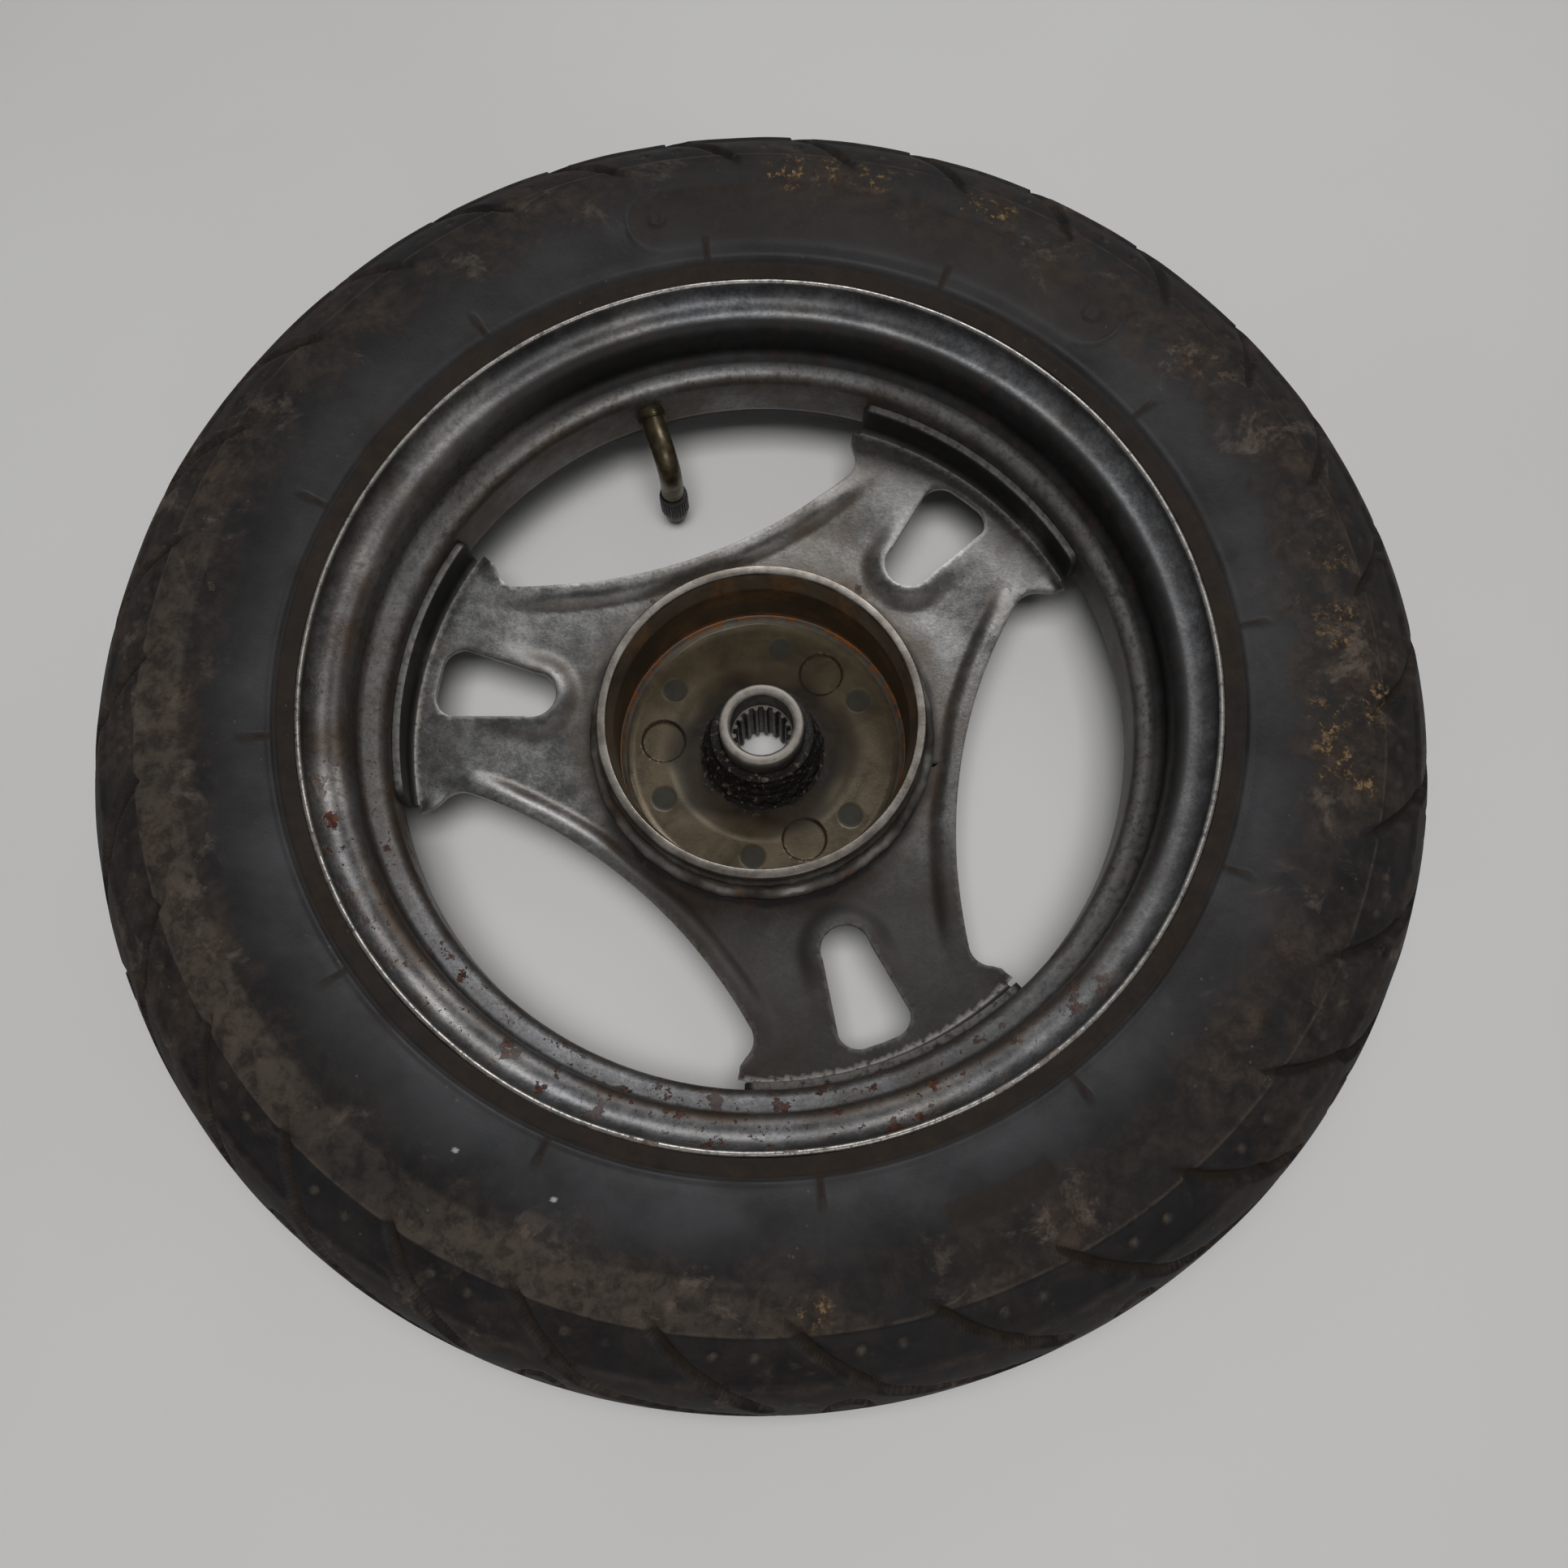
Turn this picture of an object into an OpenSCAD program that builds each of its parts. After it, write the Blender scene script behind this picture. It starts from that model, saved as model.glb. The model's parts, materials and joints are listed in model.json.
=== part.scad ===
// Scooter rear wheel, 3.00-10 tube tyre on a pressed steel rim, with a cast brake drum hub.
// The wheel lies flat: its axis is Z, and the open side of the drum faces up.
// The origin is on the axis, half way between the two rim edges.

/* [Tyre] */
// Overall diameter of the tyre
tyre_d = 413; // [408:1:418]
// Width of the tyre at its widest point
tyre_w = 82; // [80:0.5:84]
// Thickness of rubber outside the plies at the crown
crown_rubber = 8; // [6:0.5:9]
// Thickness of rubber outside the plies at the sidewall
side_rubber = 4; // [3.5:0.5:5]
// Thickness of the ply layer
ply_t = 1.6; // [1:0.2:2]

/* [Rim] */
// Diameter of the bead seat on the tyre side
bead_seat_d = 253.2; // [253:0.1:254]
// Outside diameter of the rolled rim edge
rim_edge_d = 275.6; // [274.6:0.2:276]
// Overall width of the rim between its two edges
rim_w = 74; // [73:0.5:75]
// Inside width between the flanges
flange_gap = 54.6; // [54:0.2:55.2]
// Inside diameter of the well, on the hub side
well_d = 233; // [232.6:0.1:233.2]
// Thickness of the rim sheet
rim_t = 1.8; // [1.6:0.1:1.9]

/* [Disc] */
// Height of the upper face of the disc
disc_top = -9.3; // [-9.8:0.1:-9]
// Thickness of the disc sheet
disc_t = 2.3; // [2:0.1:2.5]
// Direction of the first arm in degrees
arm_turn = 47; // [40:1:50]
// Half the angle that each foot flange spans
foot_half = 22.5; // [20:0.5:23]

/* [Hub] */
// Diameter of the braking surface
drum_d = 95; // [94.8:0.1:95.4]
// Height of the top face of the drum
drum_top = 4.8; // [4:0.1:5.5]
// Outside diameter of the splined sleeve
sleeve_d = 27.4; // [27:0.1:27.8]
// Diameter of the plain bore above the splines
plain_bore_d = 20.3; // [20:0.1:20.6]
// Number of spline teeth
spline_teeth = 18; // [16:1:20]

/* [Valve] */
// Direction of the valve in degrees
valve_turn = 105.8; // [100:1:112]
// Diameter of the valve stem
stem_d = 7.7; // [7.5:0.1:7.8]
// Radius of the bend in the stem
bend_r = 10; // [9:0.5:11]
// Outside diameter of the cap
cap_d = 9.8; // [9.6:0.1:10.2]

/* [Hidden] */
$fn = 96;

// Colours
black_rubber = [0.07, 0.07, 0.08];
ply_cloth = [0.35, 0.30, 0.24];
graphite = [0.20, 0.20, 0.21];
raw_steel = [0.55, 0.55, 0.56];
cast_alloy = [0.42, 0.40, 0.34];
drum_iron = [0.36, 0.27, 0.20];
old_brass = [0.45, 0.39, 0.26];

// Points of an arc round c with radius r from angle a to angle b, in n steps
function arc(c, r, a, b, n) =
    [for (i = [0:n]) let (t = a + (b - a) * i / n) c + r * [cos(t), sin(t)]];
// The same points below the mid plane, in reverse order
function mirrored(p) = [for (i = [len(p) - 1:-1:0]) [p[i][0], -p[i][1]]];
function power(x, e) = sign(x) * pow(abs(x), e);

// ---- tyre ----
tyre_r = tyre_d / 2;
half_w = tyre_w / 2;
widest_r = tyre_r - half_w;     // radius at which the tyre is widest
roundness = 2.3;                // 2 is an ellipse, and more is squarer
side_fall = 4.5;                // how far the sidewall falls in towards the rim edge
bead_gap = 0.2;                 // gap between the bead and the rim
seat_r = bead_seat_d / 2;
edge_r = rim_edge_d / 2;
curl_r = 8;                     // tyre side radius of the rolled rim edge
curl_c = [edge_r - curl_r, flange_gap / 2 + curl_r];
toe_z = 15.5;                   // inner edge of the bead

// Upper half of a section through a tyre layer, outside the widest point
function crown(depth_r, depth_z) = [for (i = [0:18])
    [widest_r + (half_w - depth_r) * power(cos(90 * i / 18), 2 / roundness),
     (half_w - depth_z) * power(sin(90 * i / 18), 2 / roundness)]];
// Sidewall from the widest point in to radius r_end
function sidewall(depth_z, r_end, fall) = [for (i = [1:6])
    [widest_r - (widest_r - r_end) * i / 6, half_w - depth_z - fall * pow(i / 6, 2)]];

tyre_outside = concat(
    crown(0, 0),
    sidewall(0, edge_r + 0.7, side_fall),
    arc(curl_c, curl_r + bead_gap, 8, -90, 8),
    [[seat_r + 3, flange_gap / 2 - bead_gap],
     [seat_r + bead_gap, flange_gap / 2 - 3],
     [seat_r + bead_gap, toe_z]]);

// Inner face of the rubber, which is the outer face of the plies
function ply_face(d) = concat(
    [[seat_r + 1.4 + d, toe_z - 1], [seat_r + 5 + d, toe_z + 3 - 0.6 * d], [seat_r + 13 + 0.6 * d, 28 - d]],
    mirrored([for (p = sidewall(side_rubber + d, seat_r + 18, 5)) [p[0], -p[1]]]),
    mirrored([for (p = crown(crown_rubber + d, side_rubber + d)) [p[0], -p[1]]]));

module ring_of(half_outline) {
    rotate_extrude($fn = 144) polygon(concat(half_outline, mirrored(half_outline)));
}

// The wires lie in the rubber between the bead seat and the plies
bead_wire_c = [seat_r + 3.2, flange_gap / 2 - 5.3];
bead_wire_half = 1.7;

module bead_wire_ring(side, grow) {
    rotate_extrude($fn = 144)
        translate([bead_wire_c[0], side * bead_wire_c[1]])
            square(2 * (bead_wire_half + grow), center = true);
}

module tyre_rubber() {
    color(black_rubber)
        difference() {
            rotate_extrude($fn = 144)
                polygon(concat(tyre_outside, ply_face(0), mirrored(ply_face(0)), mirrored(tyre_outside)));
            bead_wire_ring(1, 0.05);
            bead_wire_ring(-1, 0.05);
        }
}

module tyre_carcass() {
    inner = ply_face(ply_t);
    outer = ply_face(0.05);
    color(ply_cloth)
        rotate_extrude($fn = 144)
            polygon(concat(
                [for (i = [1:len(outer) - 1]) outer[i]],
                mirrored([for (i = [1:len(outer) - 1]) outer[i]]),
                [for (i = [1:len(inner) - 1]) [inner[i][0], -inner[i][1]]],
                [for (i = [len(inner) - 1:-1:1]) inner[i]]));
}

module bead_wire_upper() { color(raw_steel) bead_wire_ring(1, 0); }
module bead_wire_lower() { color(raw_steel) bead_wire_ring(-1, 0); }

// ---- inner tube and valve ----
tube_t = 1.6;
tube_gap = 0.5;
tube_floor_r = 121.4;           // the tube's face towards the rim well

// Upper half of the tube's section, d inside its outer face
function tube_half(d) = concat(
    crown(crown_rubber + ply_t + tube_gap + d, side_rubber + ply_t + tube_gap + d),
    [[150, 31.5 - d], [141 + 0.3 * d, 25 - 0.9 * d], [134 + 0.6 * d, 16.5 - 0.9 * d],
     [128.5 + 0.8 * d, 10.5 - 0.7 * d], [tube_floor_r + d, 6.5 - 0.5 * d]]);

module valve_line() { rotate([0, 0, valve_turn]) children(); }
// A round solid along the radial part of the stem, from radius r1 out to radius r2
module radial_rod(r, r1, r2) {
    translate([r1, 0, 0]) rotate([0, 90, 0]) cylinder(r = r, h = r2 - r1, $fn = 48);
}
// A round solid along the part of the stem that is parallel to the axle
module axial_rod(r, z1, z2) {
    translate([drop_r, 0, z1]) cylinder(r = r, h = z2 - z1, $fn = 48);
}

stem_r = stem_d / 2;
drop_r = 96;                    // radius at which the stem turns parallel to the axle
bend_end_r = drop_r + bend_r;
stem_end_z = -31.5;
foot_out = tube_floor_r + tube_t + 1.4;
airway_r = 1.4;
core_r = 2.4;                   // radius of the threaded pocket for the valve core
core_top = -17.4;              // leaves room above the pin when it is pressed in
cap_end_z = -36;
cap_mouth_z = -20.5;
cap_wall = 0.9;
cap_body_z = cap_mouth_z - 11.5; // where the straight body meets the tapered end
cap_rib_l = 9.5;
cap_rib_w = 0.5;
cap_seat_z = stem_end_z - 1.3;  // inner end of the cap's hollow, where its seal lies
thread_gap = 0.15;

module inner_tube() {
    color(black_rubber)
        difference() {
            rotate_extrude($fn = 144)
                difference() {
                    polygon(concat(tube_half(0), mirrored(tube_half(0))));
                    polygon(concat(tube_half(tube_t), mirrored(tube_half(tube_t))));
                }
            valve_line() radial_rod(stem_r + 0.05, tube_floor_r - 1, tube_floor_r + tube_t + 1);
        }
}

module valve_base() {
    color(black_rubber)
        difference() {
            rotate([0, 0, valve_turn - 5])
                rotate_extrude(angle = 10)
                    translate([tube_floor_r - 1.8, -5]) square([1.7, 10]);
            valve_line() radial_rod(stem_r + 0.05, tube_floor_r - 4, tube_floor_r + 4);
        }
}

// Quarter bend from the radial part to the part parallel to the axle
module elbow(r) {
    translate([bend_end_r, 0, -bend_r])
        rotate([90, 0, 0])
            rotate([0, 0, 90])
                rotate_extrude(angle = 90, $fn = 64) translate([bend_r, 0]) circle(r = r, $fn = 48);
}

module valve_stem() {
    color(old_brass)
        valve_line()
            difference() {
                union() {
                    radial_rod(stem_r, bend_end_r, foot_out - 0.4);
                    radial_rod(stem_r + 1.4, foot_out - 1.2, foot_out);
                    elbow(stem_r);
                    axial_rod(stem_r, stem_end_z, -bend_r);
                }
                radial_rod(airway_r, bend_end_r, foot_out + 1);
                elbow(airway_r);
                axial_rod(airway_r, stem_end_z - 1, -bend_r);
                axial_rod(core_r, stem_end_z - 1, core_top);
            }
}

module valve_collar() {
    color(old_brass)
        valve_line()
            difference() {
                union() {
                    radial_rod(4.8, 113.4, tube_floor_r - 1.9);
                    radial_rod(4.5, 113, 113.4);
                }
                radial_rod(stem_r + 0.05, 112, tube_floor_r);
            }
}

module valve_core_body() {
    color(old_brass)
        valve_line()
            difference() {
                union() {
                    axial_rod(core_r - 0.05, stem_end_z + 0.4, -27.6);
                    axial_rod(1.75, -27.6, -20.4);
                }
                axial_rod(0.75, stem_end_z - 1, -19);
                axial_rod(1.35, -26.9, -21.2);
            }
}

module valve_core_pin() {
    color(old_brass)
        valve_line() {
            axial_rod(0.45, stem_end_z + 0.2, -19.2);
            axial_rod(1.5, -20.3, -19.2);
        }
}

spring_turns = 5;
spring_r = 1.0;
spring_wire = 0.16;
spring_z1 = -26.7;
spring_z2 = -21.4;
spring_steps = 12;

// Ring number k of the spring: six points round the wire
function spring_ring(k) =
    let (t = k / (spring_turns * spring_steps), a = 360 * k / spring_steps,
         z = spring_z1 + (spring_z2 - spring_z1) * t)
    [for (j = [0:5]) [drop_r + (spring_r + spring_wire * cos(60 * j)) * cos(a),
                      (spring_r + spring_wire * cos(60 * j)) * sin(a),
                      z + spring_wire * sin(60 * j)]];

module valve_core_spring() {
    n = spring_turns * spring_steps;
    color(raw_steel)
        valve_line()
            polyhedron(
                points = [for (k = [0:n]) each spring_ring(k)],
                faces = concat(
                    [[for (j = [0:5]) j]],
                    [[for (j = [5:-1:0]) n * 6 + j]],
                    [for (k = [0:n - 1]) for (j = [0:5])
                        [k * 6 + j, (k + 1) * 6 + j, (k + 1) * 6 + (j + 1) % 6, k * 6 + (j + 1) % 6]]));
}

module valve_core_seal() {
    color(black_rubber)
        valve_line()
            difference() {
                axial_rod(core_r - 0.05, -25.5, -23.8);
                axial_rod(1.8, -26, -23);
            }
}

module cap_seal() {
    color(black_rubber) valve_line() axial_rod(3.4, stem_end_z - 1.2, stem_end_z - 0.15);
}

module valve_cap() {
    ribs = 28;
    body_r = cap_d / 2 - cap_rib_w / 2;
    color(black_rubber)
        valve_line()
            difference() {
                union() {
                    axial_rod(body_r, cap_body_z, cap_mouth_z);
                    translate([drop_r, 0, cap_end_z])
                        cylinder(r1 = cap_d / 2 - 1.2, r2 = body_r, h = cap_body_z - cap_end_z, $fn = 48);
                    for (i = [0:ribs - 1])
                        translate([drop_r, 0, cap_body_z + cap_rib_w])
                            rotate([0, 0, 360 * i / ribs])
                                translate([cap_d / 2 - cap_rib_w, -cap_rib_w / 2, 0])
                                    cube([cap_rib_w, cap_rib_w, cap_rib_l]);
                }
                axial_rod(cap_d / 2 - cap_wall - thread_gap, cap_mouth_z - 3, cap_mouth_z + 1);
                axial_rod(stem_r + thread_gap, cap_seat_z, cap_mouth_z);
            }
}

// ---- rim ----
well_c = well_d / 2 + rim_t / 2;        // sheet centre line in the well
seat_c = seat_r - rim_t / 2;            // sheet centre line under the bead
ledge_tilt = 27;                        // slope of the ledge between well and bead seat
well_bend = 4.5;
ledge_bend = 4;
seat_bend = 3.5;
ledge_z = 16.5;
ledge_lo = [seat_c - ledge_bend * (1 - sin(ledge_tilt)), ledge_z - ledge_bend * cos(ledge_tilt)];
well_hi_r = well_c + well_bend * (1 - sin(ledge_tilt));
well_bend_z = ledge_lo[1] - (ledge_lo[0] - well_hi_r) * tan(ledge_tilt) - well_bend * cos(ledge_tilt);

// Upper half of one face of the rim sheet, s outside its centre line
function rim_face(s) = concat(
    arc([well_c + well_bend, well_bend_z], well_bend - s, 180, 90 + ledge_tilt, 5),
    arc([seat_c - ledge_bend, ledge_z], ledge_bend + s, ledge_tilt - 90, 0, 5),
    arc([seat_c + seat_bend, flange_gap / 2 + rim_t / 2 - seat_bend], seat_bend - s, 180, 90, 5),
    arc(curl_c, curl_r - rim_t / 2 + s, -90, 0, 7),
    [[edge_r - rim_t / 2 + s, rim_w / 2]]);

module rim() {
    hub_face = rim_face(-rim_t / 2);
    tyre_face = rim_face(rim_t / 2);
    color(graphite)
        difference() {
            rotate_extrude($fn = 144)
                polygon(concat(
                    mirrored(hub_face), hub_face,
                    [for (i = [len(tyre_face) - 1:-1:0]) tyre_face[i]],
                    [for (p = tyre_face) [p[0], -p[1]]]));
            valve_line() radial_rod(5.4, well_d / 2 - 5, well_d / 2 + 8);
        }
}

// ---- disc ----
hub_seat_r = 50.8;              // inner edge of the disc, held in the casting
hub_cast_r = 55.6;              // the casting's ring round the disc
flange_in_r = well_d / 2 - 0.1 - disc_t;
flange_top = 4.5;
fold_r = 2;                     // inside radius of the fold at the foot
step_in = 59;
step_out = 64;
hub_drop = 1.7;                 // the disc sits this much lower at the hub
open_arc_c = 232;               // centre of the arc that bounds an opening on the hub side
open_arc_r = 167;
corner_r = 7.5;

// One side of the outline of an opening between two arms, for an opening on the +X axis
function opening_side() = concat(
    arc([open_arc_c, 0], open_arc_r, 180, 180 - 20.6, 8),
    arc([82.7, 56.2], corner_r, 180 - 20.6, 84, 6),
    [[86.6, 64.0], [88.4, 65.2], [92.2, 67.3], [125, 91.5]]);

module arm_opening() {
    side = opening_side();
    polygon(concat(side, mirrored(side)));
}

// Rounded window, narrow end towards the hub
window_in = 68.3;
window_out = 107.2;
module arm_window() {
    polygon(concat(
        arc([window_in + 8, 0], 8, 264 - 180, 276, 16),
        arc([window_out - 7.3, -4.7], 7.2, 278, 350, 5),
        [[window_out, 0]],
        arc([window_out - 7.3, 4.7], 7.2, 10, 82, 5)));
}

module wheel_disc() {
    top = disc_top;
    low = disc_top - disc_t;
    color(graphite)
        difference() {
            union() {
                rotate_extrude($fn = 144)
                    polygon([[hub_seat_r, low - hub_drop], [step_in, low - hub_drop], [step_out, low],
                             [flange_in_r - fold_r, low], [flange_in_r - fold_r, top],
                             [step_out, top], [step_in, top - hub_drop], [hub_seat_r, top - hub_drop]]);
                for (k = [0:2])
                    rotate([0, 0, arm_turn + 120 * k - foot_half])
                        rotate_extrude(angle = 2 * foot_half, $fn = 144)
                            polygon(concat(
                                [[flange_in_r - fold_r - 1, top], [flange_in_r - fold_r - 1, low]],
                                arc([flange_in_r - fold_r, top + fold_r], fold_r + disc_t, -90, 0, 6),
                                [[flange_in_r + disc_t, flange_top], [flange_in_r, flange_top]],
                                arc([flange_in_r - fold_r, top + fold_r], fold_r, 0, -90, 6)));
            }
            for (k = [0:2]) {
                rotate([0, 0, arm_turn + 60 + 120 * k])
                    translate([0, 0, low - 5]) linear_extrude(height = 30) arm_opening();
                rotate([0, 0, arm_turn + 120 * k])
                    translate([0, 0, low - 5]) linear_extrude(height = 30) arm_window();
            }
        }
}

module foot_welds() {
    bead = [[116.5, -8.1], [117.0, -9.7], [117.5, -10.9], [115.4, -11.0], [115.95, -9.8]];
    color(raw_steel)
        for (k = [0:2])
            for (side = [-1, 1])
                rotate([0, 0, arm_turn + 120 * k + 12 * side - 6])
                    rotate_extrude(angle = 12) polygon(bead);
}

// ---- hub ----
floor_z = -29.6;
dish_z = -31;
hub_end_z = -38.3;
liner_end_z = -26.4;
liner_out_r = 50.4;
sleeve_r = sleeve_d / 2;
sleeve_top = -1.9;
spline_top = -12.5;
spline_tip_r = 8.3;
spline_root_r = 9.5;
slot_top = disc_top - hub_drop;
slot_low = slot_top - disc_t;

module hub_casting() {
    recess_at = 33.6;
    mark_at = 36.9;
    mark_turns = [25.7, 77.5, 140.9, 203.7, 261.8, 318.8];
    color(cast_alloy)
        difference() {
            rotate_extrude($fn = 144)
                polygon([[liner_out_r, 1.6], [51.7, 1.6], [51.2, 0.8], [51.2, -2.4],
                         [52.6, -3.6], [53.2, -7.2], [55, -8], [hub_cast_r, -9],
                         [hub_cast_r, slot_top], [hub_seat_r, slot_top],
                         [hub_seat_r, slot_low], [hub_cast_r, slot_low], [55.2, -16], [53.4, -17.6],
                         [52, -31], [48.5, -35.2], [45, -35.8], [24, -35.8], [21, -37], [20, hub_end_z],
                         [sleeve_r, hub_end_z], [sleeve_r, -11], [16.1, -11], [16.5, -11.4], [16.5, -20],
                         [17.4, -21], [17.4, -26.4], [18.4, -27.4], [18.8, -29.6], [20.4, dish_z],
                         [29.6, dish_z], [31.6, floor_z], [43.4, floor_z], [45.4, -28.9], [46.7, -27.6],
                         [47.2, liner_end_z], [liner_out_r, liner_end_z]]);
            for (k = [0:2])
                rotate([0, 0, 51 + 120 * k])
                    translate([recess_at, 0, dish_z - 0.4]) cylinder(r = 7.2, h = 4, $fn = 48);
            for (a = mark_turns)
                rotate([0, 0, a]) translate([mark_at, 0, floor_z - 0.5]) cylinder(r = 4, h = 2, $fn = 48);
        }
}

module brake_liner() {
    color(drum_iron)
        rotate_extrude($fn = 144)
            polygon([[drum_d / 2 + 1.75, drum_top], [drum_d / 2, -4], [drum_d / 2, liner_end_z],
                     [liner_out_r, liner_end_z], [liner_out_r, 1.6], [52.2, 1.6],
                     [52.2, drum_top - 0.3], [51.9, drum_top]]);
}

// Cross section of the splined hole, with round roots
module spline_hole() {
    space_r = 0.95;
    circle(r = spline_tip_r, $fn = 96);
    for (i = [0:spline_teeth - 1])
        rotate(360 * i / spline_teeth)
            translate([spline_root_r - space_r, 0]) circle(r = space_r, $fn = 32);
}

module splined_sleeve() {
    bore_r = plain_bore_d / 2;
    color(raw_steel)
        difference() {
            union() {
                translate([0, 0, hub_end_z]) cylinder(r = sleeve_r, h = sleeve_top - 0.6 - hub_end_z);
                translate([0, 0, sleeve_top - 0.6]) cylinder(r1 = sleeve_r, r2 = sleeve_r - 0.6, h = 0.6);
            }
            translate([0, 0, hub_end_z - 1])
                linear_extrude(height = spline_top - hub_end_z + 2) spline_hole();
            translate([0, 0, spline_top]) cylinder(r = bore_r, h = 20);
            translate([0, 0, sleeve_top - 1]) cylinder(r1 = bore_r, r2 = bore_r + 1.1, h = 1.1);
        }
}

tyre_rubber();
tyre_carcass();
bead_wire_upper();
bead_wire_lower();
inner_tube();
valve_base();
valve_stem();
valve_collar();
valve_core_body();
valve_core_pin();
valve_core_spring();
valve_core_seal();
cap_seal();
valve_cap();
rim();
wheel_disc();
foot_welds();
hub_casting();
brake_liner();
splined_sleeve();
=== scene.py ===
import itertools
import json
import math

import bmesh
import bpy
import numpy as np
from mathutils import Matrix, Vector
from mathutils.geometry import delaunay_2d_cdt

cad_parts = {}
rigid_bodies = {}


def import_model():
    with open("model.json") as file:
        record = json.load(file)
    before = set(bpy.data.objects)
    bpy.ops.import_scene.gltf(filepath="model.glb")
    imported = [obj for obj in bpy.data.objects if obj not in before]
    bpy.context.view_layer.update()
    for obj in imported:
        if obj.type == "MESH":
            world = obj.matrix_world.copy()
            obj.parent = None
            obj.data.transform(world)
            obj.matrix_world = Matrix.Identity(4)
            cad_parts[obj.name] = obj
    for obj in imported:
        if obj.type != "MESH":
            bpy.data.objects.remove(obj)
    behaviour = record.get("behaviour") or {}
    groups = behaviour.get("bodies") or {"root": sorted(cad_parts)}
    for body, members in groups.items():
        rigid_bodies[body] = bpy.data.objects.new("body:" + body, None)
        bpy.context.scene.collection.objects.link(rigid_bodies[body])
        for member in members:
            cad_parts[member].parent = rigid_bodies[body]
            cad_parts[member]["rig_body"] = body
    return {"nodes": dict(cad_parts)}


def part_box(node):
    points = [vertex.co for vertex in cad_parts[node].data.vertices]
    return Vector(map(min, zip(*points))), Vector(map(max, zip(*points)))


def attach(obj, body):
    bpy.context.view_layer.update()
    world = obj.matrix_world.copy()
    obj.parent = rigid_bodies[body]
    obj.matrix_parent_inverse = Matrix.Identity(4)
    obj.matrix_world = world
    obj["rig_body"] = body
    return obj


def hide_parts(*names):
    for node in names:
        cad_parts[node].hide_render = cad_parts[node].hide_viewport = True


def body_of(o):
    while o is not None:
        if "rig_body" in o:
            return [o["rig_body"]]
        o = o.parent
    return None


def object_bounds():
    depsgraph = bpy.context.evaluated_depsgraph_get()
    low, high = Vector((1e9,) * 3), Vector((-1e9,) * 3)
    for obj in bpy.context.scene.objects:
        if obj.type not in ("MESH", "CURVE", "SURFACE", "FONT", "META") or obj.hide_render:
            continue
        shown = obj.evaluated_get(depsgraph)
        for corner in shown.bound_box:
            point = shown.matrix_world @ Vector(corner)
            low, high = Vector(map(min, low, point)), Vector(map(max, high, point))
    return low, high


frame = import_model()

# The looks of a scooter rear wheel that lies flat with its brake side up.
# Lengths in this script are millimetres until a mesh is made, and angles are degrees.

MM = 0.001
cad_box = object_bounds()


def box_mm(node):
    """Lowest and highest corner of a CAD node, in millimetres"""
    low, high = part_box(node)
    return np.array(low) / MM, np.array(high) / MM


# ---- driving sizes, taken from the frame ----

TYRE_R = box_mm("tyre_rubber")[1][0]
TYRE_HALF_W = box_mm("tyre_rubber")[1][2]
RIM_R = box_mm("rim")[1][0]
RIM_HALF_W = box_mm("rim")[1][2]
FLANGE_TOP = box_mm("wheel_disc")[1][2]
HUB_LOW = box_mm("hub_casting")[0][2]
DRUM_TOP = box_mm("brake_liner")[1][2]
LINER_LOW = box_mm("brake_liner")[0][2]
SLEEVE_R = box_mm("splined_sleeve")[1][0]
SLEEVE_TOP = box_mm("splined_sleeve")[1][2]
CAP_LOW, CAP_HIGH = box_mm("valve_cap")
CAP_X, CAP_Y = (CAP_LOW[:2] + CAP_HIGH[:2]) / 2
FLOOR_Z = cad_box[0][2]
VALVE_TURN = math.degrees(math.atan2(CAP_Y, CAP_X))
ARM_TURNS = [47, 167, 287]


# ---- small tools for shapes ----

def smooth(a, b, x):
    """0 below a, 1 above b, and a soft curve between"""
    t = np.clip((x - a) / (b - a), 0, 1)
    return t * t * (3 - 2 * t)


def fade(a, b, x):
    """1 below a, 0 above b, and a soft curve between"""
    return 1 - smooth(a, b, x)


def within(x, centre, near, far):
    """1 where x is nearer than near to the centre, falling softly to 0 at far"""
    return 1 - smooth(near, far, np.abs(x - centre))


def lumps(points, size, seed=0):
    """Smooth noise from -1 to 1 whose lumps are about size wide"""
    q = np.asarray(points, float) / size
    cell = np.floor(q).astype(np.int64)
    f = q - cell
    f = f * f * (3 - 2 * f)
    total = np.zeros(q.shape[:-1])
    for corner in itertools.product((0, 1), repeat=3):
        c = cell + np.array(corner)
        h = (c[..., 0] * 73856093) ^ (c[..., 1] * 19349663) ^ (c[..., 2] * 83492791) ^ (seed * 2654435761)
        h = (h ^ (h >> 13)) * 1274126177
        value = ((h ^ (h >> 16)) & 0xFFFF) / 32767.5 - 1
        total += np.prod(np.where(np.array(corner) == 1, f, 1 - f), axis=-1) * value
    return total


def arc(c, r, a, b, n):
    """Points of an arc round c from angle a to angle b in n steps"""
    t = np.radians(np.linspace(a, b, n + 1))
    return [(c[0] + r * math.cos(x), c[1] + r * math.sin(x)) for x in t]


def at(radius, turn):
    """The point at a radius and an angle"""
    return radius * math.cos(math.radians(turn)), radius * math.sin(math.radians(turn))


def mirrored(outline):
    """The outline's mirror image across its first axis, run the other way"""
    return [(r, -z) for r, z in outline[::-1]]


def spaced(outline, step):
    """The outline with extra points, so that no stretch is longer than step"""
    out = []
    for (r1, z1), (r2, z2) in zip(outline, outline[1:]):
        n = max(1, math.ceil(math.hypot(r2 - r1, z2 - z1) / step))
        out += [(r1 + (r2 - r1) * i / n, z1 + (z2 - z1) * i / n) for i in range(n)]
    return out + [outline[-1]]


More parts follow.
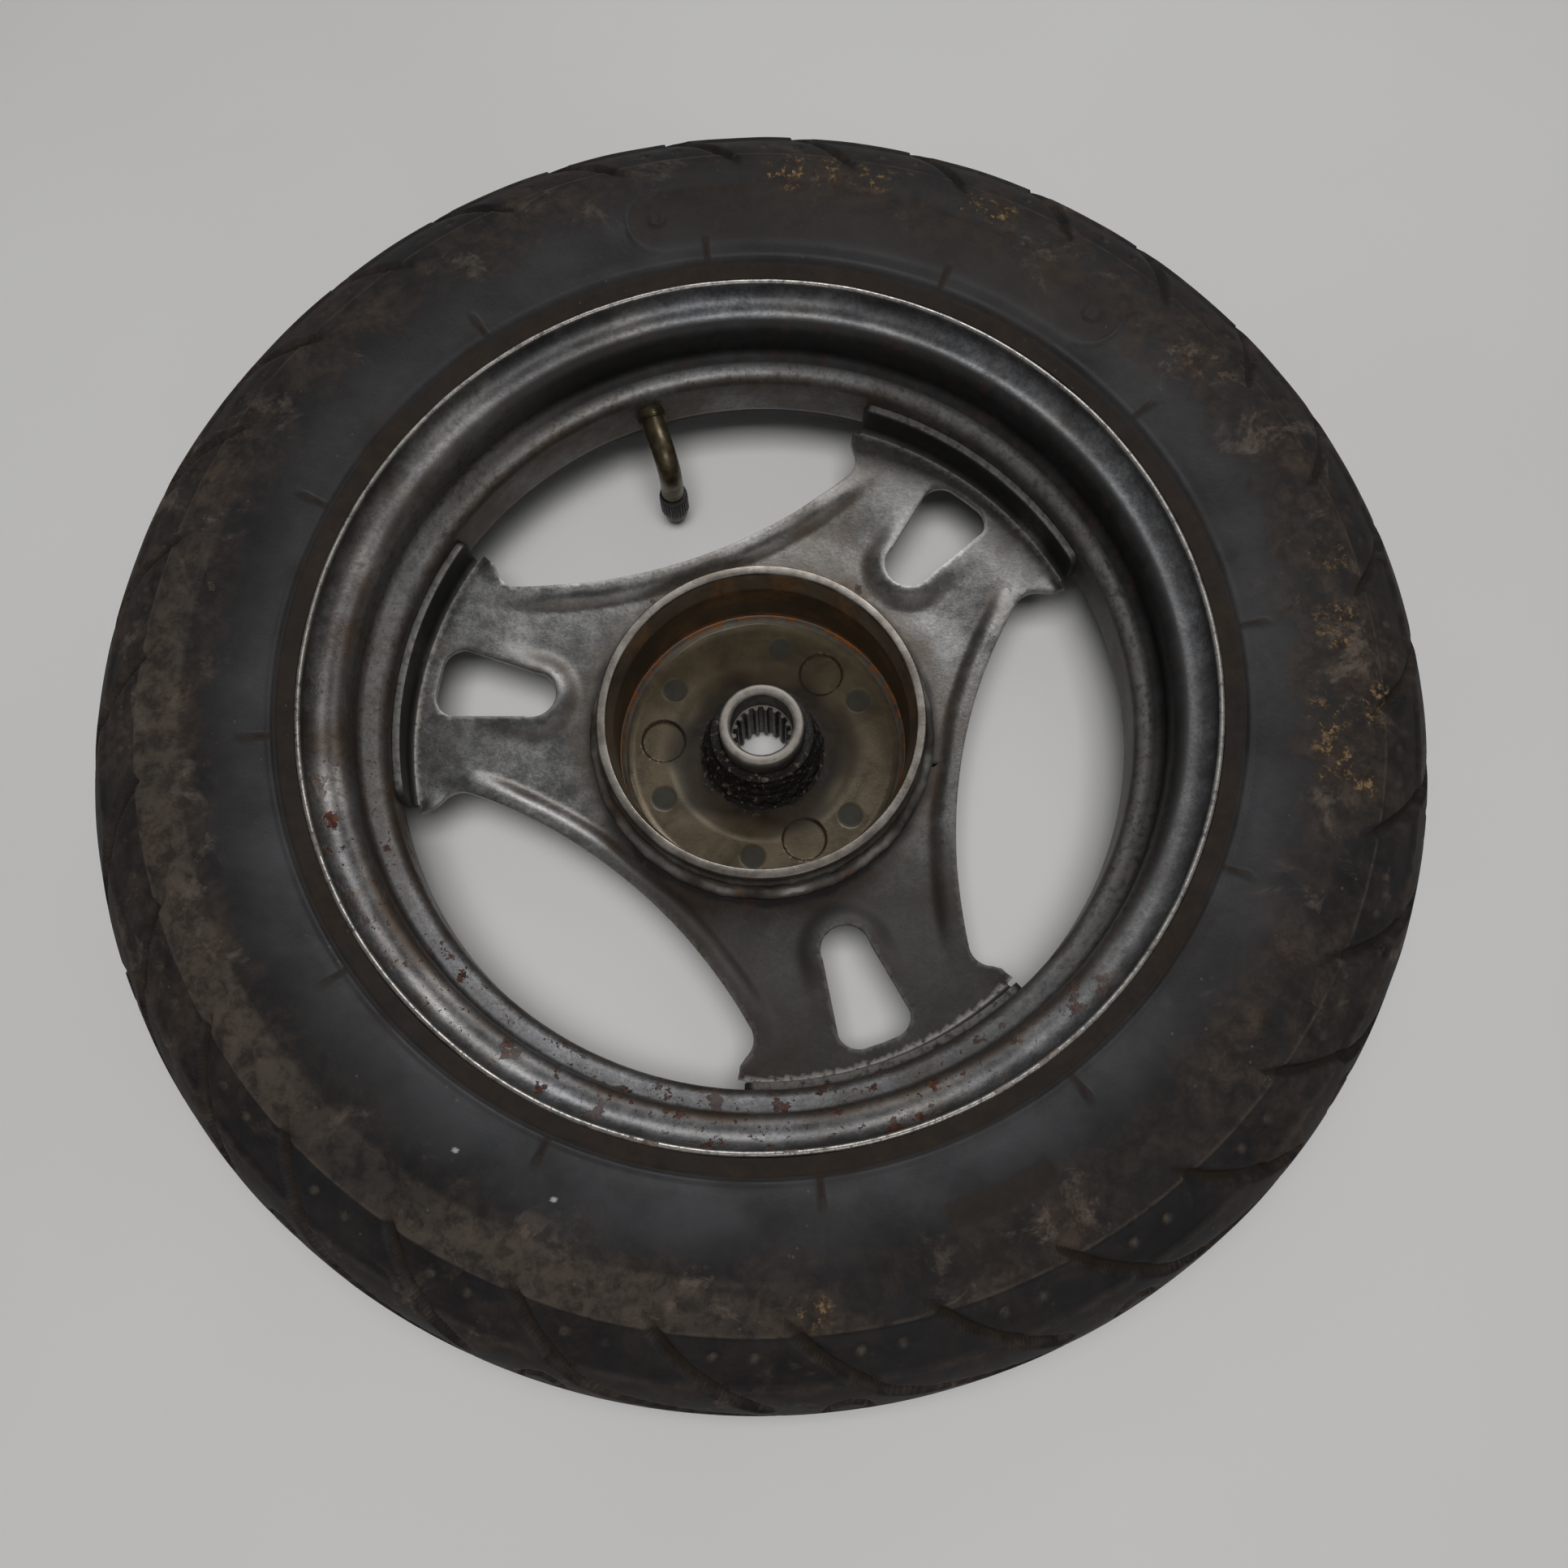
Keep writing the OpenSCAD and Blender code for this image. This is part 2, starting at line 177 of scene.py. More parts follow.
def rounded(outline, radius, steps=3):
    """A closed outline with each corner rounded, by at most radius"""
    out = []
    p = [np.array(q, float) for q in outline]
    for before, corner, after in zip(p[-1:] + p[:-1], p, p[1:] + p[:1]):
        u, v = before - corner, after - corner
        cut = min(radius, 0.45 * np.linalg.norm(u), 0.45 * np.linalg.norm(v))
        start, end = corner + u / np.linalg.norm(u) * cut, corner + v / np.linalg.norm(v) * cut
        for t in np.linspace(0, 1, steps + 1):
            out.append(tuple((1 - t) ** 2 * start + 2 * t * (1 - t) * corner + t * t * end))
    return out


def turned(outline, steps):
    """A grid of points: an outline of (r, z) turned round Z"""
    a = 2 * np.pi * np.arange(steps) / steps
    r, z = np.array(outline).T
    return np.stack([np.outer(np.cos(a), r), np.outer(np.sin(a), r), np.tile(z, (steps, 1))], -1)


def stacked(rings, steps, centre=(0, 0)):
    """A grid of points: rings of (radius, height) round a centre, where a radius may vary round its ring"""
    a = 2 * np.pi * np.arange(steps) / steps
    ring_points = [np.stack([centre[0] + r * np.cos(a), centre[1] + r * np.sin(a), np.full(steps, h)], -1)
                   for r, h in rings]
    return np.stack(ring_points, 1)


def grid_faces(rows, cols, wrap_cols=True):
    """Quads of a grid of points, closed round in its first direction and, if asked, in its second"""
    i, j = np.meshgrid(np.arange(rows), np.arange(cols - (not wrap_cols)), indexing="ij")
    i2, j2 = (i + 1) % rows, (j + 1) % cols
    return np.stack([i * cols + j, i2 * cols + j, i2 * cols + j2, i * cols + j2], -1).reshape(-1, 4)


def polar(points):
    """Radius, angle in degrees from 0 to 360 and height of each point"""
    r = np.hypot(points[..., 0], points[..., 1])
    return r, np.degrees(np.arctan2(points[..., 1], points[..., 0])) % 360, points[..., 2]


def apart(a, b):
    """Signed difference of two angles, from -180 to 180"""
    return (a - b + 180) % 360 - 180


def around(angle, turn, radius):
    """Signed distance round the axis from a turn"""
    return apart(angle, turn) * np.radians(radius)


def facing(angle, turn):
    """1 where an angle is the turn, falling to -1 on the far side"""
    return np.cos(np.radians(apart(angle, turn)))


def nearest_gap(x, y, radius, turns):
    """Distance from points to the nearest of the centres that lie at some turns round the axis"""
    centres = [at(radius, turn) for turn in turns]
    return np.min([np.hypot(x - cx, y - cy) for cx, cy in centres], axis=0)


def shown(name, data):
    """A new object in the scene"""
    obj = bpy.data.objects.new(name, data)
    bpy.context.scene.collection.objects.link(obj)
    return obj


def piece(name, node, material, points, faces, marks=None, sharp=40):
    """Makes a mesh piece from points in millimetres; it replaces a CAD node and rides on its body.

    Marks are values for the materials, kept at each point and held between 0 and 1.
    """
    mesh = bpy.data.meshes.new(name)
    flat = np.asarray(points, float).reshape(-1, 3) * MM
    mesh.from_pydata(flat.tolist(), [], faces.tolist() if hasattr(faces, "tolist") else faces)
    for key, values in (marks or {}).items():
        layer = mesh.attributes.new(key, "FLOAT", "POINT")
        layer.data.foreach_set("value", np.clip(np.asarray(values, np.float32).ravel(), 0, 1))
    bm = bmesh.new()
    bm.from_mesh(mesh)
    bmesh.ops.recalc_face_normals(bm, faces=bm.faces)
    bm.to_mesh(mesh)
    bm.free()
    mesh.shade_smooth()
    mesh.set_sharp_from_angle(angle=math.radians(sharp))
    mesh.materials.append(material)
    obj = shown(name, mesh)
    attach(obj, body_of(frame["nodes"][node])[0])
    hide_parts(node)
    return obj


def weld(obj, gap, face_up=False):
    """Joins points closer than gap millimetres; face_up also turns an open sheet's faces upward"""
    bm = bmesh.new()
    bm.from_mesh(obj.data)
    bmesh.ops.remove_doubles(bm, verts=bm.verts, dist=gap * MM)
    if face_up:
        bmesh.ops.recalc_face_normals(bm, faces=bm.faces)
        if sum(f.normal.z * f.calc_area() for f in bm.faces) < 0:
            bmesh.ops.reverse_faces(bm, faces=bm.faces)
    bm.to_mesh(obj.data)
    bm.free()


# ---- small tools for materials ----

class Paint:
    """A material whose node tree is built up by short calls; most values run from 0 to 1"""

    def __init__(self, name):
        self.material = bpy.data.materials.new(name)
        self.material.use_nodes = True
        self.tree = self.material.node_tree
        self.coords = self.tree.nodes.new("ShaderNodeTexCoord").outputs["Object"]

    def join(self, value, socket):
        if isinstance(value, bpy.types.NodeSocket):
            self.tree.links.new(value, socket)
        elif isinstance(value, (tuple, list)) and socket.type == "RGBA":
            socket.default_value = (*value[:3], 1)
        else:
            socket.default_value = value

    def add(self, kind, inputs=(), **settings):
        node = self.tree.nodes.new(kind)
        for key, value in settings.items():
            setattr(node, key, value)
        for key, value in dict(inputs).items():
            self.join(value, node.inputs[key])
        return node

    def cloud(self, scale, detail=4, rough=0.6, stretch=(1, 1, 1), twist=0.0):
        """Noise from 0 to 1; scale is lumps per metre"""
        place = self.add("ShaderNodeMapping", {"Vector": self.coords, "Scale": stretch})
        inputs = {"Vector": place.outputs[0], "Scale": scale, "Detail": detail, "Roughness": rough,
                  "Distortion": twist}
        return self.add("ShaderNodeTexNoise", inputs).outputs["Fac"]

    def cells(self, scale):
        inputs = {"Vector": self.coords, "Scale": scale}
        return self.add("ShaderNodeTexVoronoi", inputs).outputs["Distance"]

    def turned_rings(self, place, scale):
        """Fine rings that a lathe leaves, from noise along one coordinate"""
        inputs = {"W": self.times(place, scale), "Scale": 1.0, "Detail": 3}
        return self.add("ShaderNodeTexNoise", inputs, noise_dimensions="1D").outputs["Fac"]

    def mark(self, name):
        """A value that the mesh keeps at each point"""
        return self.add("ShaderNodeAttribute", attribute_name=name).outputs["Fac"]

    def marked(self, name, pattern):
        """A mark of the mesh, broken up by a pattern"""
        return self.times(self.mark(name), pattern, clamp=True)

    def math(self, operation, a, b=0.0, clamp=False):
        return self.add("ShaderNodeMath", {0: a, 1: b}, operation=operation, use_clamp=clamp).outputs[0]

    def times(self, a, b, clamp=False):
        return self.math("MULTIPLY", a, b, clamp)

    def step(self, value, low=0.3, high=0.7, out_low=0.0, out_high=1.0):
        """Value mapped softly from low..high to out_low..out_high"""
        inputs = {"Value": value, "From Min": low, "From Max": high, "To Min": out_low, "To Max": out_high}
        node = self.add("ShaderNodeMapRange", inputs, interpolation_type="SMOOTHSTEP", clamp=True)
        return node.outputs[0]

    def patches(self, scale, detail, rough, low, high, out_low=0.0, out_high=1.0):
        """Noise mapped softly from low..high to out_low..out_high"""
        return self.step(self.cloud(scale, detail, rough), low, high, out_low, out_high)

    def mix(self, share, a, b):
        node = self.add("ShaderNodeMix", data_type="RGBA")
        for number, value in ((0, share), (6, a), (7, b)):
            self.join(value, node.inputs[number])
        return node.outputs[2]

    def blend(self, share, a, b):
        """Plain number between a and b"""
        node = self.add("ShaderNodeMix", data_type="FLOAT")
        for number, value in ((0, share), (2, a), (3, b)):
            self.join(value, node.inputs[number])
        return node.outputs[0]

    def xyz(self):
        """The coordinates along X, Y and Z"""
        return self.add("ShaderNodeSeparateXYZ", {0: self.coords}).outputs[:]

    def finish(self, layers=(), **values):
        """Joins values to the surface's sockets, with a bump of (height, depth in millimetres) layers.

        The finest layer comes first. Gives the material.
        """
        normal = None
        for height, depth in layers:
            inputs = {"Height": height, "Distance": depth * MM, "Strength": 1.0}
            if normal is not None:
                inputs["Normal"] = normal
            normal = values["Normal"] = self.add("ShaderNodeBump", inputs).outputs[0]
        for key, value in values.items():
            self.join(value, self.tree.nodes["Principled BSDF"].inputs[key.replace("_", " ")])
        return self.material


# ---- materials ----

def tyre_rubber_paint():
    """Black rubber: brown dust in patches, dirt in the grooves, dry mud, a painted grey sheen on the
    sidewall, painted highlight with dust on the edges, and painted shade in the label patches
    """
    p = Paint("tyre_rubber")
    fine, broad, patch = p.cloud(900, 5, 0.65), p.cloud(28, 6, 0.62), p.cloud(75, 7, 0.7, twist=0.4)
    small = p.cloud(190, 7, 0.72, twist=0.3)
    flank_sheen = p.mark("flank_sheen")
    clean = p.mix(p.step(broad, 0.35, 0.68), (0.0085, 0.0085, 0.0095), (0.016, 0.0158, 0.0168))
    # painted sheen: a bluish grey laid over the sidewall, following the mask below
    clean = p.mix(p.times(flank_sheen, p.step(broad, 0.30, 0.68, 0.30, 0.95)), clean, (0.054, 0.055, 0.059))
    dust = p.mark("dust")
    dust_here = p.times(dust, p.step(patch, 0.36, 0.64, 0.15, 0.95), clamp=True)
    brown = p.mix(p.step(small, 0.35, 0.65), (0.036, 0.026, 0.020), (0.082, 0.060, 0.046))
    dusty = p.mix(p.times(dust_here, 0.8), clean, brown)
    pale = p.times(dust, p.step(p.cloud(48, 8, 0.72, twist=0.5), 0.56, 0.66), clamp=True)
    dusty = p.mix(p.times(pale, p.step(small, 0.3, 0.6, 0.20, 0.72)), dusty, (0.150, 0.116, 0.090))
    filled_here = p.times(p.step(p.mark("filled"), 0.25, 0.6), p.step(patch, 0.25, 0.6, 0.55, 1.0))
    filled = p.mix(filled_here, dusty, p.mix(small, (0.009, 0.007, 0.006), (0.034, 0.025, 0.018)))
    # pale brown edges: dust, and painted highlight on the groove rims and step edges
    edge_dust_and_highlight_here = p.marked("edge", p.step(small, 0.35, 0.6, 0.15, 0.8))
    edged_with_highlight = p.mix(edge_dust_and_highlight_here, filled, (0.095, 0.076, 0.060))
    # brown stain at the bead, and painted shade in the label patches and on the ticks
    stain_and_shade_here = p.marked("stain_and_shade", p.step(small, 0.25, 0.7, 0.45, 0.98))
    stained_and_shaded = p.mix(stain_and_shade_here, edged_with_highlight, p.mix(patch, (0.018, 0.013, 0.009), (0.052, 0.037, 0.027)))
    mud_here = p.marked("mud", p.patches(330, 6, 0.75, 0.50, 0.60))
    muddy = p.mix(mud_here, stained_and_shaded, p.mix(p.cloud(600), (0.14, 0.080, 0.034), (0.40, 0.27, 0.14)))
    speck = p.step(p.cells(240), 0.13, 0.07)
    speckled = p.mix(p.times(speck, p.step(p.cloud(40), 0.52, 0.66, 0, 0.5)),
                     muddy, (0.13, 0.10, 0.08))
    dull = p.math("MAXIMUM", p.math("MAXIMUM", dust_here, filled_here), p.mark("stain_and_shade"), clamp=True)
    shine = p.blend(flank_sheen, p.step(broad, 0.3, 0.7, 0.50, 0.62), p.step(patch, 0.3, 0.7, 0.40, 0.50))
    return p.finish([(fine, 0.05), (small, 0.08), (patch, 0.10), (p.times(mud_here, p.cloud(500)), 0.5)],
                    Base_Color=p.mix(p.mark("white"), speckled, (0.42, 0.42, 0.39)),
                    Roughness=p.blend(dull, shine, 0.86), Specular_IOR_Level=0.17)


def worn_paint(name, low, high, rough):
    """Dark grey wheel paint on steel: worn patches, brown film, stains and rust where the mesh marks them,
    with painted shade and painted highlight where the mesh marks those
    """
    p = Paint(name)
    fine, mid = p.cloud(1400, 4, 0.7), p.cloud(160, 6, 0.65)
    broad, film = p.cloud(22, 5, 0.6), p.cloud(45, 6, 0.62, twist=0.5)
    grey = p.mix(p.step(mid), low, high)
    grey = p.mix(p.step(broad, 0.40, 0.66, 0, 0.55), grey, (0.072, 0.068, 0.066))
    grey = p.mix(p.patches(800, 5, 0.75, 0.38, 0.66, 0, 0.55), grey, (0.075, 0.072, 0.069))
    sparkle = p.times(p.step(p.cells(1000), 0.22, 0.06, 0, 0.5), p.step(mid, 0.45, 0.6))
    grey = p.mix(sparkle, grey, (0.40, 0.40, 0.40))
    pits = p.times(p.patches(520, 5, 0.75, 0.60, 0.68), p.step(film, 0.35, 0.6, 0.15, 0.8))
    grey = p.mix(pits, grey, (0.040, 0.028, 0.022))
    # brown from the film, from real stains, and painted shade where the mesh marks it
    brown_share = p.math("ADD", p.marked("stain_and_shade", p.step(film, 0.25, 0.62, 0.3, 0.95)),
                         p.step(film, 0.52, 0.76, 0, 0.45), clamp=True)
    tinted = p.mix(brown_share, grey, p.mix(mid, (0.050, 0.033, 0.022), (0.105, 0.074, 0.050)))
    # light grey: rubbed paint, and painted highlight where the mesh marks it
    wear_and_highlight_here = p.marked("wear_and_highlight", p.patches(420, 5, 0.7, 0.32, 0.56))
    # near black: soot, and painted shade where the mesh marks it
    soot_and_shade_here = p.marked("soot_and_shade", p.step(mid, 0.25, 0.6, 0.9, 1.0))
    tinted = p.mix(soot_and_shade_here, tinted, (0.010, 0.009, 0.0085))
    worn = p.mix(wear_and_highlight_here, tinted, (0.46, 0.43, 0.39))
    rust_noise = p.math("MAXIMUM", p.patches(120, 4, 0.62, 0.585, 0.615),
                        p.patches(420, 4, 0.7, 0.62, 0.65))
    rust_here = p.marked("rust", rust_noise)
    rust_tone = p.mix(p.step(p.cloud(600), 0.35, 0.65), (0.040, 0.014, 0.009), (0.125, 0.046, 0.024))
    base_rough = p.step(mid, 0.3, 0.7, rough - 0.05, rough + 0.07)
    rough = p.blend(soot_and_shade_here, p.blend(brown_share, base_rough, 0.50), 0.6)
    rough = p.blend(wear_and_highlight_here, rough, 0.34)
    metal = p.blend(rust_here, p.blend(soot_and_shade_here, p.blend(brown_share, 0.85, 0.6), 0.0), 0.0)
    return p.finish([(fine, 0.045), (mid, 0.07), (p.times(rust_here, p.cloud(900)), 0.35)],
                    Base_Color=p.mix(rust_here, worn, rust_tone), Metallic=metal,
                    Roughness=p.blend(rust_here, rough, 0.92), Specular_IOR_Level=0.4)


def cast_alloy_paint():
    """Old cast aluminium with a brown oil film, and black grease round the boss"""
    p = Paint("cast_alloy")
    fine, mid, film = p.cloud(1100, 5, 0.7), p.cloud(240, 6, 0.65), p.cloud(60, 7, 0.65, twist=0.6)
    clean = p.mix(p.step(mid), (0.22, 0.21, 0.195), (0.34, 0.33, 0.30))
    oil = p.mix(p.step(film), (0.050, 0.035, 0.016), (0.106, 0.078, 0.039))
    oil = p.mix(p.patches(420, 5, 0.7, 0.60, 0.70, 0, 0.6), oil, (0.028, 0.020, 0.012))
    oil_share = p.mark("oil")
    filmed = p.mix(oil_share, clean, oil)
    dirt_here = p.marked("dirt", p.step(film, 0.2, 0.6, 0.4, 1.0))
    dirty = p.mix(dirt_here, filmed, (0.015, 0.010, 0.006))
    dull = p.mark("dull")
    dirty = p.mix(dull, dirty, p.mix(mid, (0.016, 0.016, 0.013), (0.048, 0.046, 0.038)))
    rust_here = p.marked("rust", p.patches(320, 6, 0.7, 0.40, 0.58))
    rusty = p.mix(rust_here, dirty, (0.23, 0.085, 0.022))
    grease = p.mark("grease")
    tar = p.times(grease, p.patches(260, 6, 0.7, 0.22, 0.42), clamp=True)
    tarred = p.mix(tar, rusty, (0.010, 0.009, 0.008))
    flecks = p.times(p.times(grease, p.patches(520, 6, 0.75, 0.56, 0.62)), 0.55)
    bare = p.blend(oil_share, 0.85, 0.42)
    matte = p.math("MAXIMUM", p.math("MAXIMUM", tar, rust_here), p.math("MAXIMUM", dirt_here, dull))
    rough = p.blend(oil_share, p.step(mid, 0.3, 0.7, 0.40, 0.55), p.step(film, 0.3, 0.7, 0.26, 0.40))
    rough = p.blend(p.math("MAXIMUM", p.mark("dirt"), dull), rough, 0.80)
    return p.finish([(fine, 0.05), (p.times(mid, p.blend(oil_share, 1.0, 0.45)), 0.10),
                     (p.times(grease, p.cloud(420, 6, 0.7)), 0.9)],
                    Base_Color=p.mix(flecks, tarred, (0.24, 0.195, 0.145)),
                    Metallic=p.blend(matte, bare, 0.0),
                    Roughness=p.blend(tar, rough, p.step(p.cloud(700), 0.35, 0.65, 0.25, 0.75)),
                    Coat_Weight=0.06, Coat_Roughness=0.3, Specular_IOR_Level=0.35)


def iron_paint():
    """Brake surface: brown film, fine turned rings, a bright lip and rust low down"""
    p = Paint("drum_iron")
    rings = p.turned_rings(p.xyz()[2], 3800)
    streak = p.cloud(130, 6, 0.65, stretch=(1, 1, 0.35))
    film = p.cloud(50, 6, 0.65)
    brown = p.mix(p.step(streak), (0.048, 0.031, 0.016), (0.110, 0.078, 0.043))
    brown = p.mix(p.step(rings, 0.35, 0.7, 0, 0.35), brown, (0.14, 0.102, 0.060))
    lead = p.mix(p.step(film), (0.105, 0.076, 0.048), (0.19, 0.150, 0.105))
    tone = p.mix(p.mark("lead"), brown, lead)
    rust_here = p.marked("rust", p.patches(260, 6, 0.7, 0.34, 0.56))
    tone = p.mix(rust_here, tone, (0.34, 0.125, 0.024))
    lip = p.marked("lip", p.patches(220, 6, 0.7, 0.20, 0.50, 0.85, 1.0))
    bright = p.mix(p.patches(90, 6, 0.7, 0.35, 0.65), (0.13, 0.112, 0.095), (0.25, 0.23, 0.205))
    rough = p.blend(lip, p.step(streak, 0.3, 0.7, 0.38, 0.52), p.step(film, 0.3, 0.7, 0.30, 0.44))
    return p.finish([(rings, 0.03), (p.cloud(800, 4, 0.7), 0.04)], Base_Color=p.mix(lip, tone, bright),
                    Metallic=p.blend(rust_here, p.blend(lip, 0.45, 0.95), 0.0), Roughness=rough)


def steel_paint(name, low, high, rough, dirt=(0.05, 0.035, 0.02), metal=1.0):
    """Turned steel with faint tool marks and dark oil where the mesh marks it"""
    p = Paint(name)
    x, y, height = p.xyz()
    radius = p.math("SQRT", p.math("ADD", p.times(x, x), p.times(y, y)))
    rings = p.turned_rings(p.math("ADD", height, radius), 4200)
    mid = p.cloud(260, 6, 0.65)
    tone = p.mix(p.step(mid), low, high)
    film = p.marked("dirt", p.patches(180, 6, 0.7, 0.25, 0.6, 0.35, 1.0))
    rough = p.blend(film, p.step(mid, 0.3, 0.7, rough - 0.05, rough + 0.08), 0.55)
    return p.finish([(rings, 0.02), (p.cloud(1300, 3, 0.7), 0.02)], Base_Color=p.mix(film, tone, dirt),
                    Metallic=p.blend(film, metal, 0.3), Roughness=rough)


def brass_paint(name, tone_low, tone_high):
    """Brass gone olive, with dark film in patches"""
    p = Paint(name)
    mid, film = p.cloud(320, 6, 0.65), p.cloud(110, 6, 0.7, twist=0.4)
    tone = p.mix(p.step(mid), tone_low, tone_high)
    dark = p.step(film, 0.45, 0.68, 0, 0.8)
    return p.finish([(p.cloud(1200, 4, 0.7), 0.03), (mid, 0.05)],
                    Base_Color=p.mix(dark, tone, (0.060, 0.042, 0.022)),
                    Metallic=p.blend(dark, 0.85, 0.45), Roughness=p.step(film, 0.3, 0.7, 0.30, 0.50))


def moulded_paint(name, low, high, rough, grain=900, depth=0.03):
    """Plastic or rubber with a fine moulded skin and a little dust"""
    p = Paint(name)
    mid = p.cloud(180, 6, 0.65)
    dust = p.patches(400, 6, 0.7, 0.56, 0.72, 0, 0.5)
    return p.finish([(p.cloud(grain, 4, 0.7), depth)],
                    Base_Color=p.mix(dust, p.mix(p.step(mid), low, high), (0.10, 0.080, 0.060)),
                    Roughness=p.step(mid, 0.3, 0.7, rough - 0.06, rough + 0.08))


def cloth_paint():
    """Rubbered cord cloth: fine parallel cords over an uneven brown skin"""
    p = Paint("ply_cloth")
    x, y, height = p.xyz()
    cords = p.math("SINE", p.math("ADD", p.times(p.math("ARCTAN2", y, x), 900), p.times(height, 4000)))
    tone = p.mix(p.patches(90, 5, 0.6, 0.3, 0.7), (0.10, 0.075, 0.050), (0.17, 0.135, 0.095))
    return p.finish([(cords, 0.08)], Roughness=0.8,
                    Base_Color=p.mix(p.step(cords, -0.9, 0.2), (0.03, 0.025, 0.02), tone))


def floor_paint():
    p = Paint("pale_floor")
    tone = p.mix(p.step(p.cloud(3, 4, 0.5)), (0.735, 0.725, 0.715), (0.775, 0.768, 0.76))
    return p.finish(Base_Color=tone, Roughness=0.6)


rubber = tyre_rubber_paint()
rim_paint = worn_paint("rim_paint", (0.145, 0.150, 0.160), (0.300, 0.308, 0.322), 0.45)
disc_paint = worn_paint("disc_paint", (0.122, 0.122, 0.119), (0.232, 0.231, 0.224), 0.35)
alloy = cast_alloy_paint()
iron = iron_paint()
sleeve_steel = steel_paint("sleeve_steel", (0.20, 0.178, 0.155), (0.33, 0.30, 0.265), 0.50,
                           dirt=(0.018, 0.014, 0.011), metal=0.55)
weld_steel = steel_paint("weld_steel", (0.20, 0.16, 0.13), (0.34, 0.29, 0.25), 0.45)
bead_steel = steel_paint("bead_steel", (0.34, 0.32, 0.30), (0.50, 0.47, 0.44), 0.35)
spring_steel = steel_paint("spring_steel", (0.48, 0.47, 0.45), (0.60, 0.60, 0.58), 0.25)
valve_brass = brass_paint("valve_brass", (0.070, 0.057, 0.034), (0.150, 0.122, 0.072))
core_brass = brass_paint("core_brass", (0.55, 0.42, 0.17), (0.70, 0.55, 0.26))
cap_plastic = moulded_paint("cap_plastic", (0.010, 0.010, 0.011), (0.022, 0.021, 0.021), 0.45)
tube_rubber = moulded_paint("tube_rubber", (0.014, 0.014, 0.015), (0.028, 0.028, 0.030), 0.62, 500, 0.05)
seal_rubber = moulded_paint("seal_rubber", (0.018, 0.016, 0.016), (0.032, 0.028, 0.027), 0.55)
ply_cloth = cloth_paint()


# ---- tyre ----

ROUNDNESS = 2.3
WIDEST_R = TYRE_R - TYRE_HALF_W
SIDE_FALL = 4.5
BEAD_SEAT_R = 126.6
FLANGE_BACK_Z = 27.3
CURL_R = 8.0
CURL_C = (RIM_R - CURL_R, FLANGE_BACK_Z + CURL_R)
BEAD_GAP = 0.2
TOE_Z = 15.5
RIDGE_PLACE, SHOULDER_PLACE = 29.6, 47.0    # on the section: the crown's ridge and the step at its edge
PITCH = 12.0
FIRST_GROOVE = 5.0
TYRE_STEPS = 1320
HIDDEN_PLACE = 200.0        # the place on the section given to points that no one sees
# Grooves as (degrees past the start, place on the section, half width, depth)
LONG_GROOVE = [(0, 51.5, 0.9, 0.5), (1.2, 47, 1.5, 2.0), (2.9, 40, 1.6, 3.0), (5.4, 31.7, 1.7, 3.2),
               (8.1, 23, 2.0, 3.4), (10.6, 18.3, 2.3, 3.4), (14.5, 15, 2.0, 3.2), (20, 11, 1.7, 3.0),
               (25, 4, 1.4, 2.6)]
SHORT_GROOVE = [(0, 51.5, 0.9, 0.5), (1.2, 47, 1.5, 2.0), (2.9, 40, 1.6, 3.0), (5.2, 32.5, 1.7, 3.2),
                (8.4, 24, 2.1, 3.4), (10.2, 18, 2.5, 3.4)]
ARCH_GROOVE = [(3.1, 10, 0.7, 2.2), (3.2, 15.5, 0.9, 2.4), (3.9, 19, 1.0, 2.4), (4.8, 20.3, 1.1, 2.4),
               (5.7, 19, 1.0, 2.4), (6.4, 15.5, 0.9, 2.4), (6.5, 10, 0.7, 2.2), (3.1, 10, 0.7, 2.2)]
DIMPLES = [(6.2, 40.5), (9.6, 40.5)]
TICKS = [3.5 + 30 * k for k in range(12)]
PIPS = [18 + 30 * k for k in range(12)]
# Blank label areas as (from angle, to angle, from place, to place, corner radius)
PANEL = (42.9, 102.1, 61.0, 81.5, 9.5)
PLATE = (285.2, 296.2, 65.0, 73.0, 0.8)
WHITE_SPOTS = [(-124.2, 73), (-113.3, 73)]
# Mud as (angle, section place, radius, strength)
MUD = [(-12, 62, 7, 0.8), (-7.5, 66, 6, 0.9), (-6.5, 52, 5, 1.0), (-4.6, 48, 4, 1.0), (-13.5, 54, 5, 0.8),
       (2.6, 58, 7, 0.9), (0.8, 60, 4, 0.8), (9.5, 55, 6, 0.4), (61.5, 54, 6, 0.9), (64, 56, 5, 0.6),
       (75, 55, 6, 0.7), (80, 53, 5, 0.8), (84, 56, 7, 0.9), (271.7, 53, 5, 0.7), (33, 57, 8, 0.3)]


def power(x, e):
    """Power that keeps the sign of x"""
    return np.sign(x) * np.abs(x) ** e


def tyre_side():
    """Upper half of the outer section, from the crown to the rim: radius and height"""
    t = np.radians(np.linspace(0, 90, 300))
    r = WIDEST_R + TYRE_HALF_W * power(np.cos(t), 2 / ROUNDNESS)
    z = TYRE_HALF_W * power(np.sin(t), 2 / ROUNDNESS)
    u = np.linspace(0, 1, 80)[1:]
    end_r = RIM_R + 0.7
    return np.r_[r, WIDEST_R - (WIDEST_R - end_r) * u], np.r_[z, TYRE_HALF_W - SIDE_FALL * u ** 2]


def along_section(places):
    """Points and outward normals of the outer section at distances from the crown line"""
    r, z = tyre_side()
    run = np.r_[0, np.cumsum(np.hypot(np.diff(r), np.diff(z)))]
    places = np.minimum(places, run[-1])
    pr, pz = np.interp(places, run, r), np.interp(places, run, z)
    ahead, behind = np.minimum(places + 0.6, run[-1]), np.maximum(places - 0.6, 0)
    dr = np.interp(ahead, run, r) - np.interp(behind, run, r)
    dz = np.interp(ahead, run, z) - np.interp(behind, run, z)
    size = np.hypot(dr, dz)
    return pr, pz, dz / size, -dr / size


